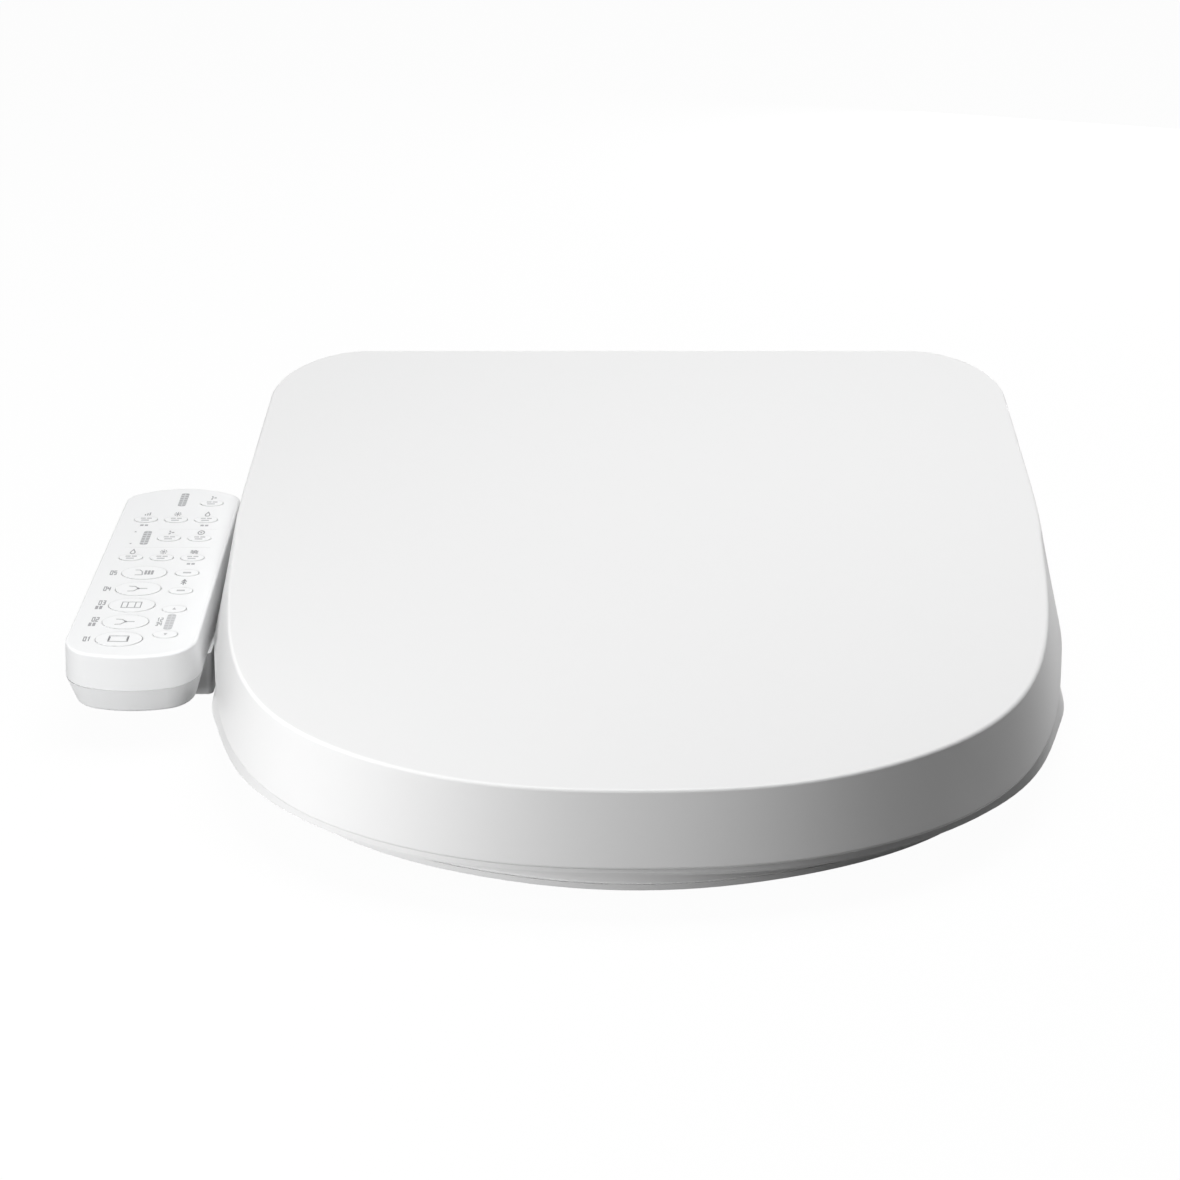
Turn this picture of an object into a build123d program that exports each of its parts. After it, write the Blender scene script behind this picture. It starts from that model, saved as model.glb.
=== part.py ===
from build123d import *
import math
import os

os.makedirs("parts", exist_ok=True)

# Electric bidet seat with a side control panel, shown with its lid closed.
# Millimetres, +X to the right, +Y to the back, +Z up.
# The origin lies midway between the two bolt slots, on the rim of the bowl.

# Fits
running_gap = 0.35
pin_gap = 0.06
rest_gap = 0.4
quarter_turn = 90

# Hinge line shared by the lid and the seat
hinge_y = 8.0
hinge_z = 58.0
pin_radius = 5.0
barrel_radius = 13.0
knuckle_width = 18.0
knuckle_gap = 2.0

# Lid
front_reach = 475.0
lid_low_height = 24.0
lid_low_slope = 4.5
lid_low_half = 205.0
lid_low_behind = 17.0
lid_skirt = 34.0
lid_top_slope = 5.0
lid_rim_setback = 6.0
lid_rim_side_setback = 5.6
lid_rim_behind = 20.0
lid_wall = 3.0
lid_rim_round = 1.6
lid_edge_round = 1.2
lid_notch_gap = 2.5
lid_corner_wide = 49.0
lid_corner_long = 68.0
lid_bumper_radius = 7.0
lid_bumper_places = ((87.4, 73.0), (49.4, 285.0))

# Seat
seat_low_height = 19.0
seat_setback = 8.0
seat_side_setback = 1.8
seat_rear_gap = 8.0
seat_front_height = 46.0
seat_top_slope = 2.5
seat_draft = 11.0
seat_top_round = 10.0
seat_corner = 40.0
seat_top_wall = 4.0
seat_side_wall = 4.5
seat_base_wall = 7.0
seat_side_rim = 98.2
seat_front_rim = 65.0
seat_rear_rim = 55.0
opening_flare = 3.0
arch_half_width = 78.0
arch_height = 30.0
arch_reach = 95.0
arm_height = 22.0
heater_thickness = 0.8
heater_margin = 6.0

# Seat lower shell
pan_height = 6.0
pan_side_setback = 21.2
pan_setback = 18.0
pan_rear_setback = 12.0
pan_corner = 30.0
pan_wall = 3.0
flange_thickness = 2.5
flange_inset = 3.0
groove_low = 2.6
groove_height = 1.4
groove_depth = 0.9
seat_bumper_width = 24.0
seat_bumper_depth = 11.0
seat_bumper_places = ((114.0, 51.0), (32.0, 225.0))
screw_radius = 3.4
screw_height = 1.6
seat_screw_places = ((54.0, 81.0), (32.0, 157.0), (32.0, 297.0))

# Main unit
main_side_setback = 13.0
main_front = -85.0
main_floor = 1.0
case_split = 24.0
cover_radius = 34.0
cover_wall = 3.0
cover_brow_round = 12.0
cover_end_round = 4.0
heel_angle = -55.0
bay_inset = 63.0
bay_floor = 3.0
case_wall = 3.0
case_corner = 6.0
grille_slots = 5
grille_slot_width = 2.5
grille_slot_height = 9.0
grille_pitch = 5.5
grille_inset = 75.0

# Mounting plate
bolt_spacing = 140.0
bolt_hole_radius = 4.5
bolt_slot_length = 26.0
plate_margin = 6.5
plate_lip = 6.0
plate_neck_height = 3.3
plate_height = 6.0
plate_front = -42.0
plate_rear = 26.0
lip_height = 2.0
bolt_head_rim = 3.8
bolt_head_depth = 3.4
screw_edge = 14.0
screw_sink = 0.8

# Release button on the right side
button_width = 22.0
button_height = 9.0
button_y = -30.0
button_z = 12.0
button_proud = 2.0
button_length = 10.0
button_flange = 1.5

# Water inlet and cord gland at the back
inlet_radius = 10.48
inlet_bore = 7.0
inlet_reach = 13.0
inlet_inset = 42.0
inlet_z = 12.5
valve_width = 44.0
valve_depth = 36.0
valve_height = 18.0
valve_gap = 3.0
valve_round = 4.0
solenoid_radius = 8.0
solenoid_length = 14.0
collar_rim = 0.9
collar_width = 2.5
gland_radius = 8.0
gland_bore = 4.2
gland_reach = 9.0

# Water heater tank and pump
tank_side_gap = 2.0
tank_damper_gap = 3.0
tank_front = -52.0
tank_rear = 20.0
tank_height = 50.0
tank_round = 8.0
tank_port_radius = 5.0
tank_port_length = 6.0
deck_thickness = 3.0
pump_radius = 9.5
pump_length = 48.0
pump_gap = 2.5

# Nozzles and their drive
nozzle_angle = 25.0
nozzle_exit_z = 15.0
nozzle_spacing = 22.0
nozzle_radius = 6.0
nozzle_length = 112.0
nozzle_set_in = 3.0
nozzle_travel = 80.0
guide_half = 20.0
guide_cheek = 3.0
guide_front_start = 4.5
guide_front_length = 8.0
guide_rear_start = 42.0
guide_rear_length = 22.0
rack_module = 1.25
rack_width = 4.0
rack_teeth_ahead = 2
rack_base = 1.4
tooth_share = 0.42
flank_angle = 20.0
pinion_teeth = 12
pinion_along = 26.0
pinion_shaft_radius = 2.0
mesh_gap = 0.5
motor_radius = 11.0
motor_length = 16.0
motor_socket = 4.0
pinion_foot = 0.5
pinion_relief = 1.3
front_foot_y = -71.0
rear_foot_y = -2.0
guide_foot = 8.0
cheek_ahead = 8.0
nozzle_window_top = 30.0

# Dryer
fan_radius = 25.0
fan_wall = 2.0
fan_damper_gap = 2.0
fan_width = 34.0
fan_y = -8.0
fan_wheel_gap = 3.0
fan_blades = 14
fan_blade = 1.2
fan_ring = 7.0
fan_hub_radius = 6.0
fan_axle_radius = 2.0
duct_height = 14.0
duct_wall = 1.5
flap_thickness = 1.6
flap_gap = 0.6
flap_pin_radius = 0.9
flap_pin_length = 2.0
flap_hang = 2.0

# Soft-close dampers
damper_radius = 11.0
damper_length = 26.0
damper_socket = 6.0

# Main board
board_side_gap = 6.0
board_depth = 56.0
board_thickness = 1.6
standoff = 5.0
standoff_radius = 2.5
capacitor_radius = 6.0
capacitor_height = 11.0
relay_size = 16.0

# Control panel, its top face sloping down to the front
panel_side_gap = 2.7
panel_setback = 171.0
panel_front_height = 49.5
panel_slope = 5.0
panel_turn = 0.8
panel_width = 62.4
panel_rear_narrowing = 3.6
panel_rear_margin = 19.5
panel_front_bow = 9.0
panel_rear_bow = 12.0
panel_front_corner = 18.0
panel_rear_corner = 10.0
panel_top_depth = 17.0
panel_bottom_depth = 14.0
panel_flare = 4.0
panel_taper = 18.0
panel_wall = 2.2
panel_face = 2.0
panel_top_round = 1.4
panel_bottom_round = 2.5
panel_parting_gap = 0.5
panel_board_margin = 4.0
switch_height = 0.8
switch_width = 4.0

# Keys, placed on the panel by distance from its centre line and from its front edge
large_key_half_width = 11.0
large_key_half_depth = 7.2
small_key_half_width = 5.7
small_key_half_depth = 3.5
key_proud = 0.25
key_gap = 0.3
key_flange = 0.8
key_flange_rim = 0.8
key_flange_gap = 0.1
post_radius = 2.0
post_edge = 7.5
post_margin = 28.0
key_travel = 0.6
switch_gap = 0.3
large_key_x = -5.7
large_key_first = 18.0
large_key_pitch = 18.0
large_key_count = 5
small_key_column = 15.4
small_key_rows = ((90.0, (1,)), (70.0, (1,)), (50.0, (1,)), (23.0, (1,)),
                  (107.5, (-1, 0, 1)), (130.5, (0, 1)), (153.0, (-1, 0, 1)), (173.5, (1,)))
window_width = 4.2
window_length = 17.0
window_places = ((-11.8, 131.0), (0.1, 178.0), (15.4, 36.5))

# Arm that carries the panel
arm_side_setback = 0.2
arm_thickness = 12.0
arm_low = 14.5
arm_top = 35.4
arm_front_inset = 38.0
arm_block_inset = 9.0
arm_block_length = 46.0
arm_round = 3.0

# Bends of the rounded outlines: distance in from the widest side, distance back
# from the front, and the direction that the outline faces there, in degrees
lid_rim_bends = ((111.4, 13.7, 73), (48.6, 56.5, 42), (16.4, 126.0, 15), (2.9, 245.0, 2))
lid_low_bends = ((116.5, 13.8, 73), (62.0, 46.2, 47), (20.6, 113.2, 22), (5.1, 187.0, 6))
seat_bends = ((113.2, 15.0, 73), (54.2, 56.0, 46), (22.8, 103.0, 27), (6.7, 154.0, 8))
pan_bends = ((127.0, 9.0, 75), (55.0, 49.0, 48), (22.0, 97.0, 28), (6.0, 160.0, 9))
lid_straight_from = 330.0
seat_straight_from = 219.5
pan_straight_from = 230.0


def save(piece, name):
    """Label one finished piece and write its STEP file."""
    piece.label = name
    export_step(piece, f"parts/{name}.step")


def tilted_plane(x, y, z, slope, turn=0.0):
    """Plane through a point, level from side to side and rising to the back, its back turned to the right."""
    lean = math.radians(slope)
    aside = math.radians(turn)
    across = (math.cos(aside), -math.sin(aside), 0)
    upright = (-math.sin(lean) * math.sin(aside), -math.sin(lean) * math.cos(aside), math.cos(lean))
    return Plane(origin=(x, y, z), x_dir=across, z_dir=upright)


def height_at(plane, slope, y):
    """Height of a tilted plane above the bowl rim at a given depth."""
    return plane.origin.Z + (y - plane.origin.Y) * math.tan(math.radians(slope))


def top_face(builder, plane):
    """Highest of the faces that lie along a plane."""
    return builder.faces().filter_by(plane).sort_by(Axis(plane.origin, plane.z_dir))[-1]


def rounded_outline(half, length, corner, bends, straight_from, inset=0.0, mode=Mode.ADD):
    """Face with a rounded nose, straight sides and two rounded rear corners."""
    side = half - inset
    rear = length - inset
    corner_wide = corner[0] - inset
    corner_long = corner[1] - inset
    nose = [(0.0, inset)]
    for side_in, back, facing in bends:
        turn = math.radians(facing)
        nose.append((half - side_in - inset * math.cos(turn), back + inset * math.sin(turn)))
    nose.append((side, straight_from))
    with BuildLine(Plane.XY) as border:
        Spline(*nose, tangents=((1, 0), (0, 1)))
        Line((side, straight_from), (side, rear - corner_long))
        corner_centre = (side - corner_wide, rear - corner_long)
        EllipticalCenterArc(corner_centre, corner_wide, corner_long, arc_size=quarter_turn)
        Line((side - corner_wide, rear), (0, rear))
        mirror(about=Plane.YZ)
    make_face(border.edges(), mode=mode)


def lid_rim_outline(inset=0.0):
    """Outline of the lid's flat top."""
    corner = (lid_corner_wide, lid_corner_long)
    rounded_outline(lid_rim_half, lid_rim_length, corner, lid_rim_bends, lid_straight_from, inset)


def lid_low_outline(inset=0.0):
    """Outline of the lid's lower edge."""
    corner = (lid_corner_wide, lid_corner_long)
    rounded_outline(lid_low_half, lid_low_length, corner, lid_low_bends, lid_straight_from, inset)


def seat_outline(inset=0.0):
    """Outer outline of the seat ring."""
    corner = (seat_corner, seat_corner)
    rounded_outline(seat_half, seat_length, corner, seat_bends, seat_straight_from, inset)


def pan_outline(inset=0.0, mode=Mode.ADD):
    """Outer outline of the seat's lower shell."""
    corner = (pan_corner, pan_corner)
    rounded_outline(pan_half, pan_length, corner, pan_bends, pan_straight_from, inset, mode)


def opening(grow, front_y, mode):
    """Oval of the seat's opening, drawn on a plane whose origin lies at front_y."""
    with Locations((0, opening_centre_y - front_y)):
        Ellipse(opening_half_width + grow, opening_half_length + grow, mode=mode)


def unit_profile(sketch, inset, floor):
    """Side profile of the main unit, its back rounded about the hinge line."""
    lean = math.radians(lid_top_slope)
    heel = math.radians(heel_angle)
    radius = cover_radius - inset
    front = main_front + inset
    crest = (hinge_y - radius * math.sin(lean), hinge_z + radius * math.cos(lean))
    brow = (front, crest[1] - (crest[0] - front) * math.tan(lean))
    tail = (hinge_y + radius * math.cos(heel), hinge_z + radius * math.sin(heel))
    with BuildLine(Plane.XY) as border:
        Line((front, floor), brow)
        Line(brow, crest)
        crest_turn = quarter_turn + lid_top_slope
        CenterArc((hinge_y, hinge_z), radius, crest_turn, heel_angle - crest_turn)
        Line(tail, (tail[0], floor))
        Line((tail[0], floor), (front, floor))
    make_face(border.edges())
    fillet(sketch.vertices().sort_by(Axis.X)[:2].sort_by(Axis.Y)[-1], radius=cover_brow_round - inset)


def panel_outline(sketch, grow):
    """Outline of the control panel, bowed at both ends."""
    half = panel_width / 2 + grow
    rear_half = half - panel_rear_narrowing / 2
    near = -grow + panel_front_bow
    far = panel_length + grow - panel_rear_bow
    with BuildLine(Plane.XY) as border:
        ThreePointArc((-half, near), (0, -grow), (half, near))
        Line((half, near), (rear_half, far))
        ThreePointArc((rear_half, far), (0, panel_length + grow), (-rear_half, far))
        Line((-rear_half, far), (-half, near))
    make_face(border.edges())
    fillet(sketch.vertices().group_by(Axis.Y)[0], radius=panel_front_corner + grow)
    fillet(sketch.vertices().group_by(Axis.Y)[-1], radius=panel_rear_corner + grow)


# Planes and values worked out from the driving sizes
lid_low_length = front_reach + hinge_y + lid_low_behind
lid_rim_half = lid_low_half - lid_rim_side_setback
lid_rim_length = front_reach - lid_rim_setback + hinge_y + lid_rim_behind
lid_low_plane = tilted_plane(0, -front_reach, lid_low_height, lid_low_slope)
lid_rim_plane = tilted_plane(0, -front_reach + lid_rim_setback, lid_low_height + lid_skirt, lid_top_slope)
seat_half = lid_low_half - seat_side_setback
seat_front = -front_reach + seat_setback
seat_rear = main_front - seat_rear_gap
seat_length = seat_rear - seat_front
opening_half_width = seat_half - seat_side_rim
opening_half_length = (seat_length - seat_front_rim - seat_rear_rim) / 2
opening_centre_y = seat_front + seat_front_rim + opening_half_length
seat_low_plane = Plane((0, seat_front, seat_low_height))
seat_top_plane = tilted_plane(0, seat_front, seat_front_height, seat_top_slope)
pan_half = seat_half - pan_side_setback
pan_front = -front_reach + pan_setback
pan_length = seat_rear - pan_rear_setback - pan_front
pan_plane = Plane((0, pan_front, pan_height))
flange_height = seat_low_height - flange_thickness
lid_notch_radius = cover_radius + lid_notch_gap
main_half = lid_low_half - main_side_setback
bay_inner = main_half - bay_inset
bay_outer = bay_inner + 2 * knuckle_width + 3 * knuckle_gap
lid_knuckle = bay_inner + knuckle_gap
seat_knuckle = lid_knuckle + knuckle_width + knuckle_gap
heel_y = hinge_y + cover_radius * math.cos(math.radians(heel_angle))
case_depth = heel_y - main_front
case_mid_y = (heel_y + main_front) / 2
deck_top = plate_height + running_gap + deck_thickness
inlet_x = main_half - inlet_inset
gland_x = -inlet_x
grille_x = main_half - grille_inset
plate_neck_half = (bolt_spacing + bolt_slot_length) / 2 + plate_margin
plate_half = plate_neck_half + plate_lip
slide_half = plate_half + running_gap
pump_y = tank_front - pump_gap - pump_radius
damper_end = bay_inner - cover_wall - damper_length
fan_x = damper_end - fan_damper_gap - fan_width
tank_inner = guide_half + guide_cheek + motor_length + tank_side_gap
tank_outer = damper_end - tank_damper_gap
tank_width = tank_outer - tank_inner
tank_x = -(tank_outer + tank_inner) / 2
board_width = tank_width - board_side_gap

nozzle_dir = Vector(0, math.cos(math.radians(nozzle_angle)), math.sin(math.radians(nozzle_angle)))
nozzle_up = Vector(0, -math.sin(math.radians(nozzle_angle)), math.cos(math.radians(nozzle_angle)))
nozzle_plane = Plane(origin=(0, main_front, nozzle_exit_z), x_dir=(-1, 0, 0), z_dir=nozzle_dir)
rack_pitch = math.pi * rack_module
rack_teeth = math.ceil(nozzle_travel / rack_pitch + rack_teeth_ahead) + 1
rack_line = nozzle_radius + rack_base + 1.25 * rack_module
pinion_pitch_radius = rack_module * pinion_teeth / 2
pinion_height = rack_line + pinion_pitch_radius + mesh_gap / 2
pinion_centre = nozzle_plane.origin + nozzle_dir * pinion_along + nozzle_up * pinion_height

fan_low = deck_top
fan_z = fan_low + fan_radius
outlet_width = fan_width - 2 * fan_wall
outlet_x = fan_x + fan_width / 2

outlet_height = duct_height - 2 * duct_wall
outlet_mid_z = fan_low + duct_height / 2
duct_rear = fan_y - fan_radius
flap_axis_y = main_front + case_wall / 2
flap_axis_z = outlet_mid_z + outlet_height / 2 - flap_hang
valve_rear = heel_y - case_wall - valve_gap
tank_depth_third = (tank_rear - tank_front) / 3

panel_length = small_key_rows[-1][0] + panel_rear_margin
panel_x = -(lid_low_half + panel_side_gap + panel_width / 2)
panel_front = panel_setback - front_reach
arm_inner_x = arm_side_setback - lid_low_half
arm_front = panel_front + arm_front_inset
arm_block_front = main_front + arm_block_inset
arm_block_rear = arm_block_front + arm_block_length
panel_plane = tilted_plane(panel_x, panel_front, panel_front_height, panel_slope, panel_turn)
parting_plane = panel_plane.offset(-panel_top_depth)
flare_growth = panel_top_depth * math.tan(math.radians(panel_flare))
panel_board_drop = panel_face + key_flange_gap + key_flange + key_travel + switch_gap + switch_height

large_keys = [(large_key_x, large_key_first + large_key_pitch * step) for step in range(large_key_count)]
small_keys = [(column * small_key_column, row) for row, columns in small_key_rows for column in columns]

# Lid shell: a drafted skirt under a flat top, hollow below, arched over the hinge line
with BuildPart() as lid_shell:
    with BuildSketch(lid_low_plane):
        lid_low_outline()
    with BuildSketch(lid_rim_plane):
        lid_rim_outline()
    loft(ruled=True)
    fillet(top_face(lid_shell, lid_rim_plane).edges(), radius=lid_rim_round)
    fillet(top_face(lid_shell, -lid_low_plane).edges(), radius=lid_edge_round)
    with BuildSketch(lid_low_plane.offset(-lid_wall)):
        lid_low_outline(lid_wall)
    with BuildSketch(lid_rim_plane.offset(-lid_wall)):
        lid_rim_outline(lid_wall)
    loft(ruled=True, mode=Mode.SUBTRACT)
    with BuildSketch(Plane.YZ):
        with Locations((hinge_y, hinge_z)):
            Circle(lid_notch_radius)
    extrude(amount=lid_low_half * 2, both=True, mode=Mode.SUBTRACT)
    for side in (-1, 1):
        with BuildSketch(Plane.YZ.offset(side * lid_knuckle)):
            with Locations((hinge_y, hinge_z)):
                Circle(barrel_radius)
            ear_top = height_at(lid_rim_plane, lid_top_slope, hinge_y) - lid_wall / 2
            with Locations((hinge_y, (hinge_z + ear_top) / 2)):
                Rectangle(2 * barrel_radius - 2, ear_top - hinge_z)
            with Locations((hinge_y, hinge_z)):
                Circle(pin_radius + pin_gap, mode=Mode.SUBTRACT)
        extrude(amount=side * knuckle_width)
save(lid_shell.part, "lid_shell")

# Lid bumpers: four rubber buttons between the lid and the seat
with BuildPart() as lid_bumpers:
    for side_in, back in lid_bumper_places:
        place_x = lid_rim_half - side_in
        place_y = back - front_reach
        lid_over = height_at(lid_rim_plane, lid_top_slope, place_y)
        lid_under = lid_over - lid_wall / math.cos(math.radians(lid_top_slope))
        seat_over = height_at(seat_top_plane, seat_top_slope, place_y)
        for side in (-1, 1):
            with BuildSketch(tilted_plane(side * place_x, place_y, lid_under, lid_top_slope)):
                Circle(lid_bumper_radius)
            tilt_drop = lid_bumper_radius * math.tan(math.radians(lid_top_slope))
            extrude(amount=-(lid_under - seat_over - rest_gap - tilt_drop))
save(lid_bumpers.part, "lid_bumpers")

# Seat upper shell: a crowned ring with an oval opening and two arms to the hinge line
with BuildPart() as seat_upper_shell:
    with BuildSketch(seat_low_plane):
        seat_outline()
    with BuildSketch(seat_top_plane):
        seat_outline(seat_draft)
    loft(ruled=True)
    with BuildSketch(seat_low_plane):
        seat_outline(seat_base_wall)
    with BuildSketch(seat_top_plane.offset(-seat_top_wall)):
        seat_outline(seat_draft + seat_side_wall)
    loft(ruled=True, mode=Mode.SUBTRACT)
    with BuildSketch(seat_low_plane):
        opening(seat_side_wall, seat_front, Mode.ADD)
    with BuildSketch(seat_top_plane.offset(-seat_top_wall)):
        opening(opening_flare + seat_side_wall, seat_front, Mode.ADD)
    loft(ruled=True)
    with BuildSketch(seat_low_plane.offset(-rest_gap)):
        opening(0, seat_front, Mode.ADD)
    with BuildSketch(seat_top_plane.offset(rest_gap)):
        opening(opening_flare, seat_front, Mode.ADD)
    loft(ruled=True, mode=Mode.SUBTRACT)
    fillet(top_face(seat_upper_shell, seat_top_plane).edges(), radius=seat_top_round)
    for side in (-1, 1):
        with BuildSketch(Plane.YZ.offset(side * seat_knuckle)):
            arm_start = seat_rear - seat_draft - seat_side_wall
            arm_top_z = height_at(seat_top_plane, seat_top_slope, arm_start) - seat_top_wall
            with BuildLine():
                Polyline(
                    (arm_start, arm_top_z),
                    (hinge_y, hinge_z + barrel_radius),
                    (hinge_y, hinge_z - barrel_radius),
                    (arm_start, arm_top_z - arm_height),
                    close=True,
                )
            make_face()
            with Locations((hinge_y, hinge_z)):
                Circle(barrel_radius)
                Circle(pin_radius + pin_gap, mode=Mode.SUBTRACT)
        extrude(amount=side * knuckle_width)
    with BuildSketch(Plane((0, seat_rear, 0))):
        Rectangle(2 * arch_half_width, 2 * arch_reach)
    extrude(amount=arch_height, mode=Mode.SUBTRACT)
save(seat_upper_shell.part, "seat_upper_shell")

# Seat lower shell: a shallow pan under a flange, with a fine shadow groove round its wall
with BuildPart() as seat_lower_shell:
    with BuildSketch(pan_plane):
        pan_outline()
        opening(pan_wall, pan_front, Mode.SUBTRACT)
    extrude(amount=flange_height - pan_height)
    with BuildSketch(seat_low_plane.offset(-flange_thickness)):
        seat_outline(flange_inset)
        opening(flange_inset, seat_front, Mode.SUBTRACT)
    extrude(amount=flange_thickness)
    with BuildSketch(pan_plane.offset(pan_wall)):
        pan_outline(pan_wall)
        opening(2 * pan_wall, pan_front, Mode.SUBTRACT)
    extrude(amount=seat_low_height, mode=Mode.SUBTRACT)
    with BuildSketch(pan_plane.offset(groove_low)):
        pan_outline(-groove_depth)
        pan_outline(groove_depth, Mode.SUBTRACT)
    extrude(amount=groove_height, mode=Mode.SUBTRACT)
    with BuildSketch(Plane((0, seat_rear, 0))):
        Rectangle(2 * arch_half_width, 2 * arch_reach)
    extrude(amount=arch_height, mode=Mode.SUBTRACT)
save(seat_lower_shell.part, "seat_lower_shell")

# Seat heater: a foil ring under the seat's upper skin
with BuildPart() as seat_heater:
    with BuildSketch(seat_top_plane.offset(-seat_top_wall)):
        seat_outline(seat_draft + seat_side_wall + heater_margin)
        opening(opening_flare + seat_side_wall + heater_margin, seat_front, Mode.SUBTRACT)
    extrude(amount=-heater_thickness)
save(seat_heater.part, "seat_heater")

# Seat bumpers: four rubber pads that rest on the bowl
with BuildPart() as seat_bumpers:
    with BuildSketch(Plane.XY):
        for side_in, back in seat_bumper_places:
            with Locations((pan_half - side_in, pan_front + back), (side_in - pan_half, pan_front + back)):
                SlotOverall(seat_bumper_width, seat_bumper_depth)
    extrude(amount=pan_height)
save(seat_bumpers.part, "seat_bumpers")

# Seat screws: heads under the lower shell
with BuildPart() as seat_screws:
    with BuildSketch(Plane.XY.offset(pan_height)):
        for side_in, back in seat_screw_places:
            with Locations((pan_half - side_in, pan_front + back), (side_in - pan_half, pan_front + back)):
                Circle(screw_radius)
    extrude(amount=-screw_height)
save(seat_screws.part, "seat_screws")

# Upper cover of the main unit: rounded about the hinge line, with an open bay for each hinge
with BuildPart() as upper_cover:
    with BuildSketch(Plane.YZ) as outer_side:
        unit_profile(outer_side, 0, case_split)
    extrude(amount=main_half, both=True)
    end_edges = upper_cover.faces().filter_by(Axis.X).edges().filter_by_position(
        Axis.Z, case_split, hinge_z + cover_radius, inclusive=(False, True)
    )
    fillet(end_edges, radius=cover_end_round)
    with BuildSketch(Plane.YZ) as inner_side:
        unit_profile(inner_side, cover_wall, case_split - 1)
    extrude(amount=bay_inner - cover_wall, both=True, mode=Mode.SUBTRACT)
    for side in (-1, 1):
        with BuildSketch(Plane.YZ.offset(side * (bay_outer + cover_wall))) as tower_side:
            unit_profile(tower_side, cover_wall, case_split - 1)
        extrude(amount=side * (main_half - bay_outer - 2 * cover_wall), mode=Mode.SUBTRACT)
        with BuildSketch(Plane((side * (bay_inner + bay_outer) / 2, case_mid_y, case_split + bay_floor))):
            Rectangle(bay_outer - bay_inner, 2 * case_depth)
        extrude(amount=2 * cover_radius + hinge_z, mode=Mode.SUBTRACT)
        with BuildSketch(Plane.YZ.offset(side * (bay_inner - 2 * cover_wall))):
            with Locations((hinge_y, hinge_z)):
                Circle(pin_radius)
        extrude(amount=side * (bay_outer - bay_inner + 4 * cover_wall), mode=Mode.SUBTRACT)
    with BuildSketch(Plane((0, main_front, case_split - 1))):
        Rectangle(2 * guide_half, 4 * cover_wall)
    extrude(amount=nozzle_window_top - case_split + 1, mode=Mode.SUBTRACT)
save(upper_cover.part, "upper_cover")

# Lower case of the main unit: a tray with a slide for the mounting plate under its deck
with BuildPart() as lower_case:
    with BuildSketch(Plane((0, case_mid_y, main_floor))):
        RectangleRounded(2 * main_half, case_depth, case_corner)
    extrude(amount=case_split - main_floor)
    with BuildSketch(Plane((0, case_mid_y, main_floor + case_wall))):
        RectangleRounded(2 * (main_half - case_wall), case_depth - 2 * case_wall, case_corner - case_wall)
    extrude(amount=case_split, mode=Mode.SUBTRACT)
    slide_front = plate_front - running_gap
    deck_front = slide_front - case_wall
    with BuildSketch(Plane((0, (deck_front + heel_y) / 2, main_floor))):
        Rectangle(2 * (slide_half + case_wall), heel_y - deck_front)
    extrude(amount=deck_top - main_floor)
    with BuildSketch(Plane((0, slide_front, 0))):
        Rectangle(2 * slide_half, case_depth, align=(Align.CENTER, Align.MIN))
    extrude(amount=plate_height + running_gap, mode=Mode.SUBTRACT)
    lip_start = plate_neck_half + running_gap
    for side in (-1, 1):
        lip_x = side * (lip_start + slide_half) / 2
        with BuildSketch(Plane((lip_x, (slide_front + heel_y) / 2, main_floor))):
            Rectangle(slide_half - lip_start, heel_y - slide_front)
        extrude(amount=lip_height)
    with BuildSketch(Plane((0, main_front, main_floor + case_wall))):
        Rectangle(2 * guide_half, 4 * case_wall)
    extrude(amount=case_split, mode=Mode.SUBTRACT)
    with BuildSketch(Plane.XZ.offset(-main_front - case_wall / 2)):
        with Locations((outlet_x, outlet_mid_z)):
            Rectangle(outlet_width, outlet_height)
    extrude(amount=2 * case_wall, both=True, mode=Mode.SUBTRACT)
    with BuildSketch(Plane.YZ.offset(outlet_x)):
        with Locations((flap_axis_y, flap_axis_z)):
            Circle(flap_pin_radius + pin_gap)
    extrude(amount=outlet_width / 2 + flap_pin_length + running_gap, both=True, mode=Mode.SUBTRACT)
    with BuildSketch(Plane.YZ.offset(main_half)):
        with Locations((button_y, button_z)):
            Rectangle(button_width + 2 * running_gap, button_height + 2 * running_gap)
    extrude(amount=2 * case_wall, both=True, mode=Mode.SUBTRACT)
    with BuildSketch(Plane.XZ.offset(-heel_y)):
        with Locations((inlet_x, inlet_z)):
            Circle(inlet_radius)
        with Locations((gland_x, inlet_z)):
            Circle(gland_radius)
        with Locations((grille_x, inlet_z)):
            with GridLocations(grille_pitch, 1, grille_slots, 1):
                SlotOverall(grille_slot_height, grille_slot_width, rotation=quarter_turn)
    extrude(amount=2 * case_wall, both=True, mode=Mode.SUBTRACT)
save(lower_case.part, "lower_case")

# Mounting plate: a T-shaped slide with two counterbored bolt slots
with BuildPart() as mounting_plate:
    plate_depth = plate_rear - plate_front
    plate_mid = (plate_rear + plate_front) / 2
    with BuildSketch(Plane((0, plate_mid, 0))):
        Rectangle(2 * plate_neck_half, plate_depth)
    extrude(amount=plate_height)
    with BuildSketch(Plane((0, plate_mid, plate_neck_height))):
        Rectangle(2 * plate_half, plate_depth)
    extrude(amount=plate_height - plate_neck_height)
    with BuildSketch(Plane.XY):
        with GridLocations(bolt_spacing, 1, 2, 1):
            SlotOverall(bolt_slot_length, 2 * bolt_hole_radius)
    extrude(amount=plate_height, mode=Mode.SUBTRACT)
    with BuildSketch(Plane.XY.offset(plate_height)):
        with GridLocations(bolt_spacing, 1, 2, 1):
            SlotOverall(bolt_slot_length + 2 * bolt_head_rim, 2 * (bolt_hole_radius + bolt_head_rim))
    extrude(amount=-bolt_head_depth, mode=Mode.SUBTRACT)
save(mounting_plate.part, "mounting_plate")

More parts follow.
